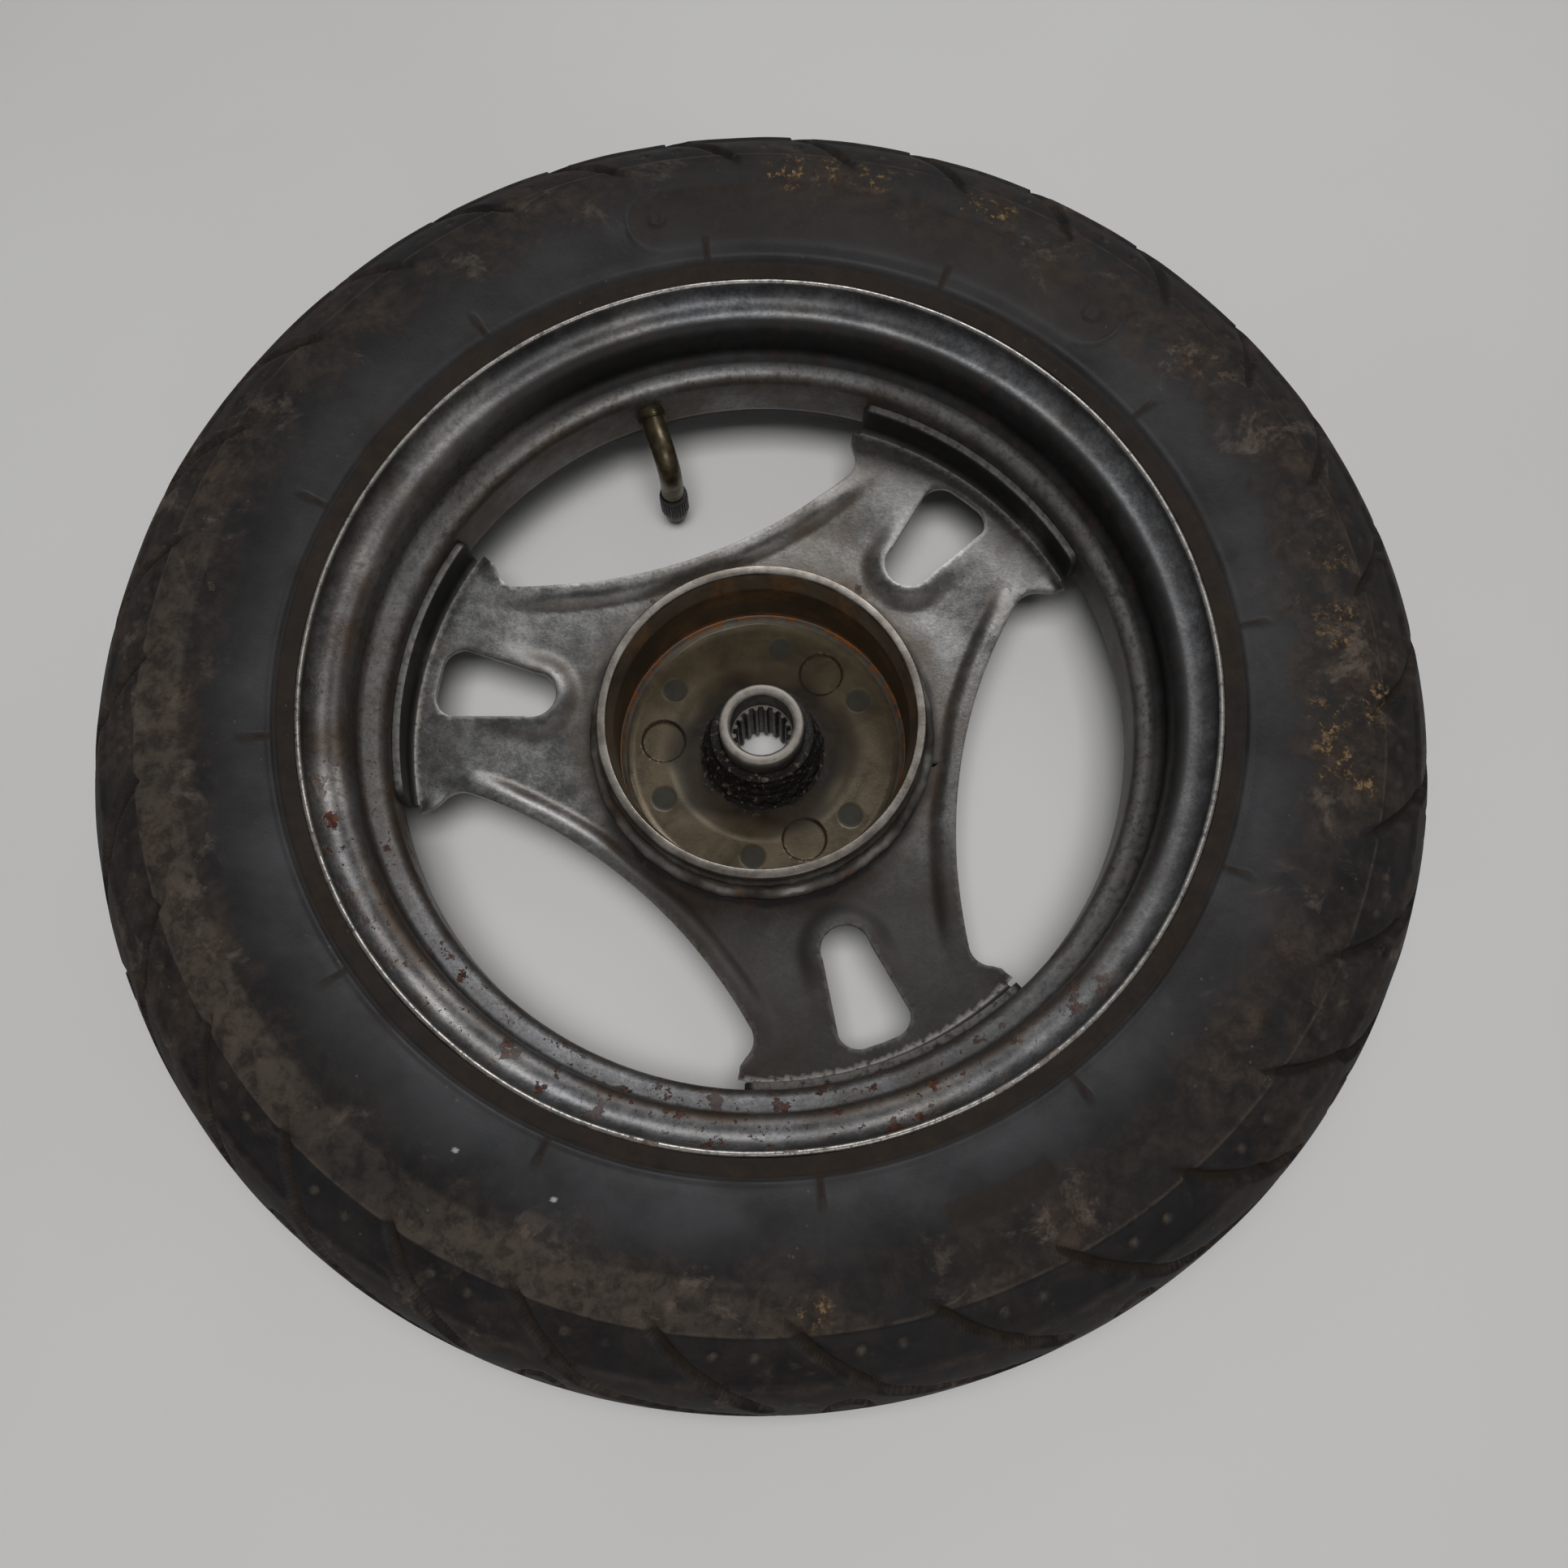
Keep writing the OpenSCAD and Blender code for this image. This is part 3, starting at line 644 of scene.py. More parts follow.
def to_path(angle, place, scale, path):
    """Distance past a groove's edge, and its depth there, for a path of (angle, place, half width, depth)"""
    best = np.full(angle.shape, 1e3)
    depth = np.zeros(angle.shape)
    for (a1, s1, w1, d1), (a2, s2, w2, d2) in zip(path, path[1:]):
        x, y = (angle - a1) * scale, place - s1
        ux, uy = (a2 - a1) * scale, s2 - s1
        t = np.clip((x * ux + y * uy) / (ux * ux + uy * uy), 0, 1)
        gap = np.hypot(x - t * ux, y - t * uy) - (w1 + (w2 - w1) * t)
        depth = np.where(gap < best, d1 + (d2 - d1) * t, depth)
        best = np.minimum(gap, best)
    return best, depth


def tread(angle, place, radius):
    """Depth of the tread's grooves, and how far each point lies in one"""
    scale = np.radians(radius)
    depth = np.zeros(angle.shape)
    inside = np.zeros(angle.shape)
    for path, shift in ((LONG_GROOVE, 0), (SHORT_GROOVE, PITCH), (ARCH_GROOVE, 0)):
        turn = (angle - FIRST_GROOVE - shift) % (2 * PITCH)
        for lap in (0, 2 * PITCH):
            gap, deep = to_path(turn + lap, place, scale, path)
            share = fade(-0.7, 0.55, gap)
            depth = np.maximum(depth, deep * share)
            inside = np.maximum(inside, share)
    turn = (angle - FIRST_GROOVE) % PITCH
    dimple = np.zeros(angle.shape)
    for a, s in DIMPLES:
        gap = np.hypot((turn - a) * scale, place - s) - 1.3
        dimple = np.maximum(dimple, fade(-0.8, 0.5, gap))
    return np.maximum(depth, 1.1 * dimple), inside, dimple


def rounded_patch(angle, place, radius, span):
    """Distance inside a rounded patch of the sidewall: positive inside, in millimetres"""
    a1, a2, s1, s2, corner = span
    x = around(angle, (a1 + a2) / 2, radius)
    y = place - (s1 + s2) / 2
    half_x = (a2 - a1) / 2 * np.radians(radius) - corner
    half_y = (s2 - s1) / 2 - corner
    dx, dy = np.abs(x) - half_x, np.abs(y) - half_y
    return corner - np.hypot(np.maximum(dx, 0), np.maximum(dy, 0)) - np.minimum(np.maximum(dx, dy), 0)


def sidewall_relief(angle, place, radius):
    """Height of the marks that the mould leaves on the sidewall"""
    up = np.zeros(angle.shape)
    for a in TICKS:
        x = np.abs(around(angle, a, radius))
        up += 0.75 * fade(0.25, 0.8, x) * smooth(79.5, 80.5, place) * fade(86.5, 87.5, place)
        up += 0.7 * fade(0.5, 1.5, np.hypot(x, place - 80.5))
    panel = rounded_patch(angle, place, radius, PANEL)
    for a in PIPS:
        gap = np.hypot(around(angle, a, radius), place - 63.5)
        up += 0.6 * fade(0.3, 1.3, gap) * (panel < -2)
    up -= 0.45 * smooth(-0.3, 0.9, panel)
    up += 0.35 * within(panel, -0.3, 0.3, 0.9)
    for a in (PANEL[0] + 3.3, PANEL[1] - 3.3):
        gap = np.hypot(around(angle, a, radius), place - 71)
        up += 0.9 * fade(2.2, 3.2, gap) - 1.0 * fade(0.6, 1.5, gap)
    up -= 0.5 * smooth(-0.3, 0.7, rounded_patch(angle, place, radius, PLATE))
    up -= 0.7 * within(place, 88.6, 0.2, 0.75)
    up += 0.25 * within(place, 86.9, 0.2, 0.7)
    up += 0.18 * within(place, 55, 0.2, 0.7)
    return up


def make_tyre():
    near = np.r_[np.arange(0.5, 52.5, 0.95), np.arange(53, 71, 1.5), np.arange(71.5, 75, 0.6),
                 np.arange(75.5, 86, 1.4), np.arange(86.2, 92.6, 0.55)]
    pr, pz, nr, nz = along_section(near)
    rows_up = len(near)
    fit = arc(CURL_C, CURL_R + BEAD_GAP, 8, -90, 8)
    hidden = fit + [(BEAD_SEAT_R + 3, FLANGE_BACK_Z - BEAD_GAP), (BEAD_SEAT_R + BEAD_GAP, FLANGE_BACK_Z - 3),
                    (BEAD_SEAT_R + BEAD_GAP, TOE_Z), (BEAD_SEAT_R + 1.4, TOE_Z - 1),
                    (BEAD_SEAT_R + 5, TOE_Z + 3), (BEAD_SEAT_R + 13, 28), (150, 36), (WIDEST_R, 37)]
    hidden += [(WIDEST_R + (TYRE_HALF_W - 8) * power(math.cos(t), 2 / ROUNDNESS),
                (TYRE_HALF_W - 4) * power(math.sin(t), 2 / ROUNDNESS)) for t in np.radians([70, 50, 30, 15])]
    upper = list(zip(pr, pz)) + hidden
    outline = upper + mirrored(upper)
    grid = turned(outline, TYRE_STEPS)
    rows = len(outline)
    radius, angle, _ = polar(grid)
    place = np.full(rows, HIDDEN_PLACE)
    place[:rows_up] = near
    place[-rows_up:] = near[::-1]
    place = np.tile(place, (TYRE_STEPS, 1))
    below = np.tile(np.arange(rows) >= rows // 2, (TYRE_STEPS, 1))
    turn = np.where(below, angle + PITCH, angle)
    depth, inside, dimple = tread(turn, place, radius)
    band = smooth(30.2, 31.4, place) * fade(46.0, 47.2, place)
    ridge = within(place, RIDGE_PLACE, 0.2, 0.8)
    up = sidewall_relief(angle, place, radius)
    wave = 0.30 * lumps(grid, 45, 3) + 0.12 * lumps(grid, 14, 4)
    raised = up + wave * (place < 84) - 0.75 * band + 0.25 * ridge * (inside < 0.2)
    shift = np.where(place < HIDDEN_PLACE, raised - depth, 0)
    normal_r, normal_z = np.zeros(rows), np.zeros(rows)
    normal_r[:rows_up], normal_z[:rows_up] = nr, nz
    normal_r[-rows_up:], normal_z[-rows_up:] = nr[::-1], -nz[::-1]
    a = np.radians(angle)
    out = np.stack([np.cos(a) * normal_r, np.sin(a) * normal_r, np.broadcast_to(normal_z, a.shape)], -1)
    points = grid + out * np.minimum(shift, 0.9)[..., None]
    points[..., 2] = np.clip(points[..., 2], -TYRE_HALF_W, TYRE_HALF_W)
    mud = np.zeros(angle.shape)
    for a0, s0, size, strength in MUD:
        gap = np.hypot(around(angle, a0, radius), place - s0) / size
        mud = np.maximum(mud, strength * fade(0.5, 1.25, gap + 0.35 * lumps(grid, 5, 9)))
    beyond = smooth(46.4, 47.2, place)
    clean_side = smooth(0.5, 0.9, facing(angle, 262))
    wide = 8 * np.clip(facing(angle, 20), 0, 1)
    dust = beyond * fade(56 + wide, 76 + wide, place + 5 * lumps(grid, 16, 10))
    dust += 0.42 * fade(29.4, 30.4, place)
    dust += np.where(place < SHOULDER_PLACE, 0.30 + 0.45 * (1 - clean_side), 0.10)
    dust = np.clip(dust * (0.8 + 0.55 * lumps(grid, 34, 5)), 0, 1)
    # rims and step_edge: painted highlight along the grooves' rims, mostly on the clean side, and on the
    # crown's step edges
    rims = np.clip(depth / 1.5, 0, 1) * (1 - inside) * (place < 52) * (0.05 + 0.95 * clean_side)
    low_left = smooth(0.35, 0.9, facing(angle, 215)) * (place > SHOULDER_PLACE)
    step_edge = within(place, SHOULDER_PLACE, 0.2, 1.0) + 0.5 * ridge
    white = np.zeros(angle.shape)
    for a0, s0 in WHITE_SPOTS:
        gap = np.hypot(around(angle, a0, radius), place - s0)
        white = np.maximum(white, fade(0.4, 0.9, gap))
    # painted shade in the recessed label patches and along the ticks
    shade = 0.45 * smooth(-1, 1, rounded_patch(angle, place, radius, PANEL)) * (place < 90)
    shade += 0.75 * smooth(-0.5, 0.5, rounded_patch(angle, place, radius, PLATE)) * (place < 90)
    for a0 in TICKS:
        gap = np.abs(around(angle, a0, radius))
        shade += 0.8 * fade(0.5, 1.4, gap) * smooth(78.5, 80, place) * (place < 87.5)
    marks = {
        # where the painted sidewall sheen lies; it is stronger towards -Y
        "flank_sheen": smooth(60, 84, place + 5 * lumps(grid, 30, 7)) * fade(88, 89, place)
        * (0.78 - 0.22 * np.sin(np.radians(angle))),
        "dust": dust,
        "filled": inside * (0.75 + 0.25 * lumps(grid, 18, 6)),
        # pale brown edges: dust in the dimples and on the lower left, and painted highlight on the groove
        # rims and step edges
        "edge": np.clip(rims + 0.8 * step_edge * (inside < 0.3) + 0.7 * dimple + 0.75 * dust * low_left, 0, 1)
        * (place < 62),
        # the brown bead ring is real stain; shade adds painted shade in the label patches and on the ticks
        "stain_and_shade": (smooth(87.3, 89.6, place) * (0.85 + 0.3 * lumps(grid, 20, 14))
                  + 0.4 * smooth(82, 88, place) * smooth(0, 0.5, lumps(grid, 14, 8)) + shade),
        "mud": np.where(below, 0, mud),
        "white": np.where(below, 0, white),
    }
    piece("tyre", "tyre_rubber", rubber, points, grid_faces(TYRE_STEPS, rows), marks, sharp=70)


# ---- rim ----

RIM_T = 1.8
WELL_R = 116.5
SEAT_MID_R = BEAD_SEAT_R - RIM_T / 2
WELL_MID_R = WELL_R + RIM_T / 2
LEDGE_TILT = 27.0
WELL_BEND, LEDGE_BEND, SEAT_BEND = 4.5, 4.0, 3.5
LEDGE_Z = 16.5
RIM_STEPS = 480
VALVE_HOLE_R = 5.4


def rim_face(s, n):
    """Upper half of one face of the rim sheet, s outside its centre line"""
    sine, cosine = math.sin(math.radians(LEDGE_TILT)), math.cos(math.radians(LEDGE_TILT))
    ledge_lo = (SEAT_MID_R - LEDGE_BEND * (1 - sine), LEDGE_Z - LEDGE_BEND * cosine)
    well_hi_r = WELL_MID_R + WELL_BEND * (1 - sine)
    bend_z = ledge_lo[1] - (ledge_lo[0] - well_hi_r) * math.tan(math.radians(LEDGE_TILT)) - WELL_BEND * cosine
    return (
        arc((WELL_MID_R + WELL_BEND, bend_z), WELL_BEND - s, 180, 90 + LEDGE_TILT, n)
        + arc((SEAT_MID_R - LEDGE_BEND, LEDGE_Z), LEDGE_BEND + s, LEDGE_TILT - 90, 0, n)
        + arc((SEAT_MID_R + SEAT_BEND, FLANGE_BACK_Z + RIM_T / 2 - SEAT_BEND), SEAT_BEND - s, 180, 90, n)
        + arc(CURL_C, CURL_R - RIM_T / 2 + s, -90, -5, n + 4)
    )


def make_rim():
    half = RIM_T / 2
    lip = arc((RIM_R - half, RIM_HALF_W - half), half, 180, 0, 8)
    upper = spaced(rim_face(-half, 9) + lip + rim_face(half, 9)[::-1], 1.6)
    outline = upper + mirrored(upper)
    grid = turned(outline, RIM_STEPS)
    radius, angle, z = polar(grid)
    out = grid.copy()
    at_lip = smooth(RIM_HALF_W - 5, RIM_HALF_W, np.abs(z))
    out[..., 2] += at_lip * (0.22 * lumps(grid, 24, 11) + 0.10 * lumps(grid, 6, 12)) * np.sign(z)
    out[..., :2] *= (1 + 0.0012 * at_lip * lumps(grid, 30, 13))[..., None]
    # the valve hole: the four-sided grid closes in round it, and its faces inside are left out
    side = around(angle, VALVE_TURN, WELL_R)
    gap = np.hypot(side, z)
    grow = np.where(gap < VALVE_HOLE_R + 3, np.maximum(gap, VALVE_HOLE_R), gap)
    at_well = (radius < WELL_R + 4) & (gap < VALVE_HOLE_R + 0.01) & (gap > 0)
    share = np.where(at_well, grow / np.maximum(gap, 1e-6), 1.0)
    new_side, new_z = side * share, z * share
    new_angle = np.radians(VALVE_TURN) + new_side / WELL_R
    moved = np.stack([radius * np.cos(new_angle), radius * np.sin(new_angle), new_z], -1)
    points = np.where(at_well[..., None], moved, out)
    faces = grid_faces(RIM_STEPS, len(outline))
    hole = at_well.ravel()[faces].all(axis=1)
    kept = faces[~hole]
    low_left = np.clip(facing(angle, 245) * 1.3 - 0.1, 0, 1)
    top_left = np.clip(facing(angle, 165) * 1.4 - 0.5, 0, 1)
    ledge = within(radius, 123, 4, 9)
    flange = within(radius, 131, 3, 7)
    groove = within(radius, 126.3, 0.6, 3.0)
    near_hole = fade(5.5, 10, gap)
    # up_right and right set where painted shade goes on the rim's upper right and right side
    up_right = np.clip(0.55 + 0.9 * facing(angle, 55), 0.25, 1)
    right = np.clip(facing(angle, -8) * 1.5 - 0.5, 0, 1)
    # the channel: the bead seat's wall, the flange's inner bend and the ledge's outer half
    channel = fade(127.4, 129.8, radius) * smooth(119.0, 121.0, radius)
    channel *= smooth(11.2, 13.2, np.abs(z))
    patches = smooth(-0.1, 0.5, lumps(grid, 9, 21) + 0.5 * lumps(grid, 3.5, 22) + 0.15)
    rust = (0.95 * low_left * (flange + 0.6 * ledge) * patches + 0.9 * near_hole * (radius < 120)
            + 0.35 * low_left + 0.10)
    marks = {
        # rubbed paint on the lip and flange, with painted light: the flange lighter to the top left and
        # darker on the right, a painted highlight on the ledge away from the lower left, and none where the
        # painted shade lies
        "wear_and_highlight": np.clip(0.75 * smooth(RIM_HALF_W - 1.0, RIM_HALF_W - 0.3, np.abs(z))
                        + (0.26 + 0.2 * top_left - 0.2 * right) * flange
                        * smooth(-0.1, 0.8, lumps(grid, 12, 23))
                        + 0.30 * (1 - low_left) * within(radius, 121.5, 3, 5), 0, 1)
        * (1 - up_right * channel),
        "stain_and_shade": (0.55 * low_left * (groove + 0.35) + 0.5 * top_left + 0.7 * near_hole * (radius < 120)
                  + 0.6 * groove * smooth(-0.3, 0.6, lumps(grid, 40, 25))
                  + 0.75 * fade(117.2, 119, radius)),
        "rust": rust,
        # all painted shade: the channel on the upper right, darker on the right, and a dark band on the
        # curl's inner wall below the lip
        "soot_and_shade": (up_right * channel + 0.35 * right + 0.9 * smooth(138.5, 140.5, radius)
                 * fade(RIM_HALF_W - 2.5, RIM_HALF_W - 1.2, np.abs(z))),
    }
    piece("rim_sheet", "rim", rim_paint, points, kept, marks, sharp=50)


# ---- disc ----

HUB_SEAT_R = 50.8
DISC_T = 2.3
DISC_TOP = -9.3
PLATEAU_Z = -11.0
STRIP_UP = 2.2
FOLD_R = 2.0
FLANGE_R = WELL_R - 0.1 - DISC_T
FLANGE_CORNER_R = 3
PLATE_R = FLANGE_R - FOLD_R
FOOT_HALF = 22.5
SIDE_ARC_R = 167
SIDE_ARC_X = 232
NET = 1.35
EDGE_STEP = 1.3


def opening_side():
    """Half the outline of an opening between two arms, for an opening on the +X axis"""
    return (arc((SIDE_ARC_X, 0), SIDE_ARC_R, 180, 159.4, 18) + arc((82.7, 56.2), 7.5, 159.4, 84, 10)
            + [(86.6, 64.0), (88.4, 65.2), (92.2, 67.3)])


def arm_window():
    """Outline of the window in an arm that points along +X"""
    return (arc((76.3, 0), 8, 84, 276, 26) + arc((99.9, -4.7), 7.2, 278, 350, 10) + [(107.2, 0)]
            + arc((99.9, 4.7), 7.2, 10, 82, 10))


def turned_2d(points, angle):
    """Points turned round the origin"""
    c, s = math.cos(math.radians(angle)), math.sin(math.radians(angle))
    return [(x * c - y * s, x * s + y * c) for x, y in points]


def outline_gap(x, y, outline, closed=True):
    """Distance from points to an outline"""
    best = np.full(np.shape(x), 1e3)
    pairs = list(zip(outline, outline[1:] + outline[:1])) if closed else list(zip(outline, outline[1:]))
    for (x1, y1), (x2, y2) in pairs:
        ux, uy = x2 - x1, y2 - y1
        t = np.clip(((x - x1) * ux + (y - y1) * uy) / (ux * ux + uy * uy + 1e-9), 0, 1)
        best = np.minimum(best, np.hypot(x - x1 - t * ux, y - y1 - t * uy))
    return best


def arm_gaps(x, y):
    """Distances from points along and across an arm to its window and to its nearer side"""
    side = [(px, -py) for px, py in turned_2d(opening_side(), -60)]
    return outline_gap(x, y, arm_window()), outline_gap(x, np.abs(y), side, closed=False)


def disc_height(x, y):
    """Height of the disc's upper face at points along and across an arm"""
    r, across = np.hypot(x, y), np.abs(y)
    to_window, to_edge = arm_gaps(x, y)
    near_hub = fade(68, 98, x + 0.15 * across)
    at_hub = fade(56.5, 62, r)
    strip = (1 - np.clip((to_edge - 3.4) / 4.6, 0, 1) ** 1.6) * fade(70, 97, x)
    island = fade(0.5, 8.5, to_window) * smooth(57, 62, x) * near_hub
    z = DISC_TOP + (PLATEAU_Z - DISC_TOP) * near_hub
    z = z + (STRIP_UP * np.maximum(strip, island)) * (1 - at_hub)
    corner = smooth(20.0, 24.0, np.degrees(np.arctan2(across, x))) * smooth(100, 108, r)
    return z + 0.8 * corner * fade(109, 112, r)


def arm_plate():
    """One arm's third of the disc as a flat net: points, triangles, and the fold line's points"""
    side = turned_2d(opening_side(), -60)
    end = math.degrees(math.atan2(side[-1][1], side[-1][0]))
    side = [p for p in side if math.hypot(*p) < PLATE_R - 0.4] + [at(PLATE_R, end)]
    turns = np.arange(-FOOT_HALF, FOOT_HALF + 0.01, 0.75)
    fold = [at(PLATE_R, turn) for turn in turns]
    hub = arc((0, 0), HUB_SEAT_R, 60, -60, 80)
    seam = [at(r, -60) for r in np.linspace(HUB_SEAT_R, SIDE_ARC_X - SIDE_ARC_R, 12)]
    far_side, far_seam = [[(x, -y) for x, y in line[::-1]] for line in (side, seam)]
    outer = (seam[:-1] + spaced(side, EDGE_STEP) + fold + spaced(far_side, EDGE_STEP) + far_seam[1:]
             + hub[1:-1])
    window = spaced(arm_window() + arm_window()[:1], EDGE_STEP)[:-1]
    gx, gy = np.meshgrid(np.arange(24, 114, NET), np.arange(-60, 60, NET * 0.866))
    gx = gx + (np.arange(gx.shape[0]) % 2)[:, None] * NET / 2
    inside = in_outline(gx, gy, outer) & ~in_outline(gx, gy, window)
    inside &= (outline_gap(gx, gy, outer) > 0.62 * NET) & (outline_gap(gx, gy, window) > 0.62 * NET)
    free = list(zip(gx[inside], gy[inside]))
    verts = [Vector(p) for p in outer + window + free]
    n, m = len(outer), len(window)
    edges = [(i, (i + 1) % n) for i in range(n)] + [(n + i, n + (i + 1) % m) for i in range(m)]
    out_verts, _, faces, *_ = delaunay_2d_cdt(verts, edges, [], 0, 1e-5)
    pts = np.array([(v.x, v.y) for v in out_verts])
    mid = np.array([pts[list(f)].mean(axis=0) for f in faces])
    keep = in_outline(mid[:, 0], mid[:, 1], outer) & ~in_outline(mid[:, 0], mid[:, 1], window)
    return pts, [f for f, k in zip(faces, keep) if k], turns, np.array(fold)


def in_outline(x, y, outline):
    """Whether points lie inside a closed outline"""
    found = np.zeros(np.shape(x), bool)
    for (x1, y1), (x2, y2) in zip(outline, outline[1:] + outline[:1]):
        crosses = (y1 > y) != (y2 > y)
        found ^= crosses & (x < (x2 - x1) * (y - y1) / (y2 - y1 + 1e-12) + x1)
    return found


def make_disc():
    pts, tris, turns, fold = arm_plate()
    points = [np.c_[pts, disc_height(pts[:, 0], pts[:, 1])]]
    faces = [tuple(f) for f in tris]
    # the fold and the flange that stands up from it, as rings of points past the fold line
    bend = arc((PLATE_R, DISC_TOP + FOLD_R), FOLD_R, -90, 0, 6)[1:]
    rise = [(FLANGE_R, h) for h in np.linspace(bend[-1][1], FLANGE_TOP, 9)[1:]]
    previous = [int(np.argmin(np.hypot(pts[:, 0] - fx, pts[:, 1] - fy))) for fx, fy in fold]
    count = len(pts)
    c, s = np.cos(np.radians(turns)), np.sin(np.radians(turns))
    end_gap = (FOOT_HALF - np.abs(turns)) * math.radians(FLANGE_R)
    inset = FLANGE_CORNER_R - np.minimum(end_gap, FLANGE_CORNER_R)
    cut = FLANGE_CORNER_R - np.sqrt(np.maximum(FLANGE_CORNER_R ** 2 - inset ** 2, 0))
    for r, h in bend + rise:
        top = np.minimum(h, FLANGE_TOP - cut * smooth(-6, FLANGE_TOP, h))
        points.append(np.c_[r * c, r * s, top])
        ring = list(range(count, count + len(turns)))
        faces += [(previous[i], ring[i], ring[i + 1], previous[i + 1]) for i in range(len(turns) - 1)]
        previous, count = ring, count + len(turns)
    arm = np.vstack(points)
    all_points, all_faces = [], []
    for k, turn in enumerate(ARM_TURNS):
        c, s = math.cos(math.radians(turn)), math.sin(math.radians(turn))
        all_points.append(np.c_[arm[:, 0] * c - arm[:, 1] * s, arm[:, 0] * s + arm[:, 1] * c, arm[:, 2]])
        all_faces += [tuple(i + k * len(arm) for i in f) for f in faces]
    grid = np.vstack(all_points)
    grid[:, 2] += 0.12 * lumps(grid, 22, 31) * (np.hypot(grid[:, 0], grid[:, 1]) < 110)
    radius, _, height = polar(grid)
    arm_x = np.tile(arm[:, 0], len(ARM_TURNS))
    to_window, to_edge = [np.tile(gap, len(ARM_TURNS)) for gap in arm_gaps(arm[:, 0], arm[:, 1])]
    flange = smooth(PLATE_R, PLATE_R + 0.5, radius)
    at_hub = fade(57, 66, radius)
    channel = within(to_edge, 7.2, 0, 2.6) * fade(78, 90, arm_x)
    slope = within(to_window, 5.5, 0, 3.4) * fade(76, 88, arm_x)
    brighter = smooth(FLANGE_TOP - 0.5, FLANGE_TOP - 0.1, height)
    fold_line = within(radius, PLATE_R, 0.1, 0.6)
    marks = {
        # rubbed paint on the flange's top and the openings' edges, with a painted highlight along the fold
        # line and painted light on the +Y side
        "wear_and_highlight": (0.20 * brighter + 0.75 * fold_line * (height < -7.5)
                 + 0.18 * fade(0.2, 0.9, np.minimum(to_window, to_edge))
                 + 0.10 * smooth(0.1, 0.8, lumps(grid, 16, 36)) * smooth(0, 40, grid[:, 1])),
        # painted shade in the channels and slopes and towards -Y, with brown near the hub and in random
        # patches
        "stain_and_shade": (0.55 * channel + 0.45 * slope + 0.6 * at_hub + 0.5 * smooth(30, 60, -grid[:, 1])
                  + 0.35 * smooth(0, 0.7, lumps(grid, 25, 33))),
        # near black on the foot flange and next to the hub ring, with painted shade towards -Y and in the
        # slopes and channels
        "soot_and_shade": (flange * (1 - 0.4 * brighter)
                 + 0.70 * smooth(20, 62, -grid[:, 1]) + 0.22 * slope + 0.15 * channel
                 + 0.8 * fade(56, 58.5, radius + 0.8 * lumps(grid, 6, 37))),
        "rust": 0.55 * np.clip(smooth(0.35, 0.8, lumps(grid, 7, 35)) * (0.3 + at_hub), 0, 1),
    }
    disc = piece("disc_sheet", "wheel_disc", disc_paint, grid, all_faces, marks, sharp=50)
    weld(disc, 0.02, face_up=True)
    sheet = disc.modifiers.new("sheet", "SOLIDIFY")
    sheet.thickness = DISC_T * MM
    sheet.offset = -1
    sheet.use_quality_normals = True
    soft = disc.modifiers.new("rollover", "BEVEL")
    soft.width = 0.4 * MM
    soft.segments = 2
    soft.limit_method = "ANGLE"
    soft.angle_limit = math.radians(50)


# ---- hub ----

HUB_STEPS = 480
HUB_FLOOR_Z = -29.6
DISH_Z = -30.8
RING_R = 55.6
LINER_OUT_R = 50.4
DRUM_BORE_R = 47.5
RIM_OF_DRUM_Z = 1.6
RECESS_TURNS, RECESS_PLACE_R, RECESS_R = [51, 171, 291], 33.6, 7.2
MARK_TURNS, MARK_PLACE_R = [25.7, 77.5, 140.9, 203.7, 261.8, 318.8], 36.9


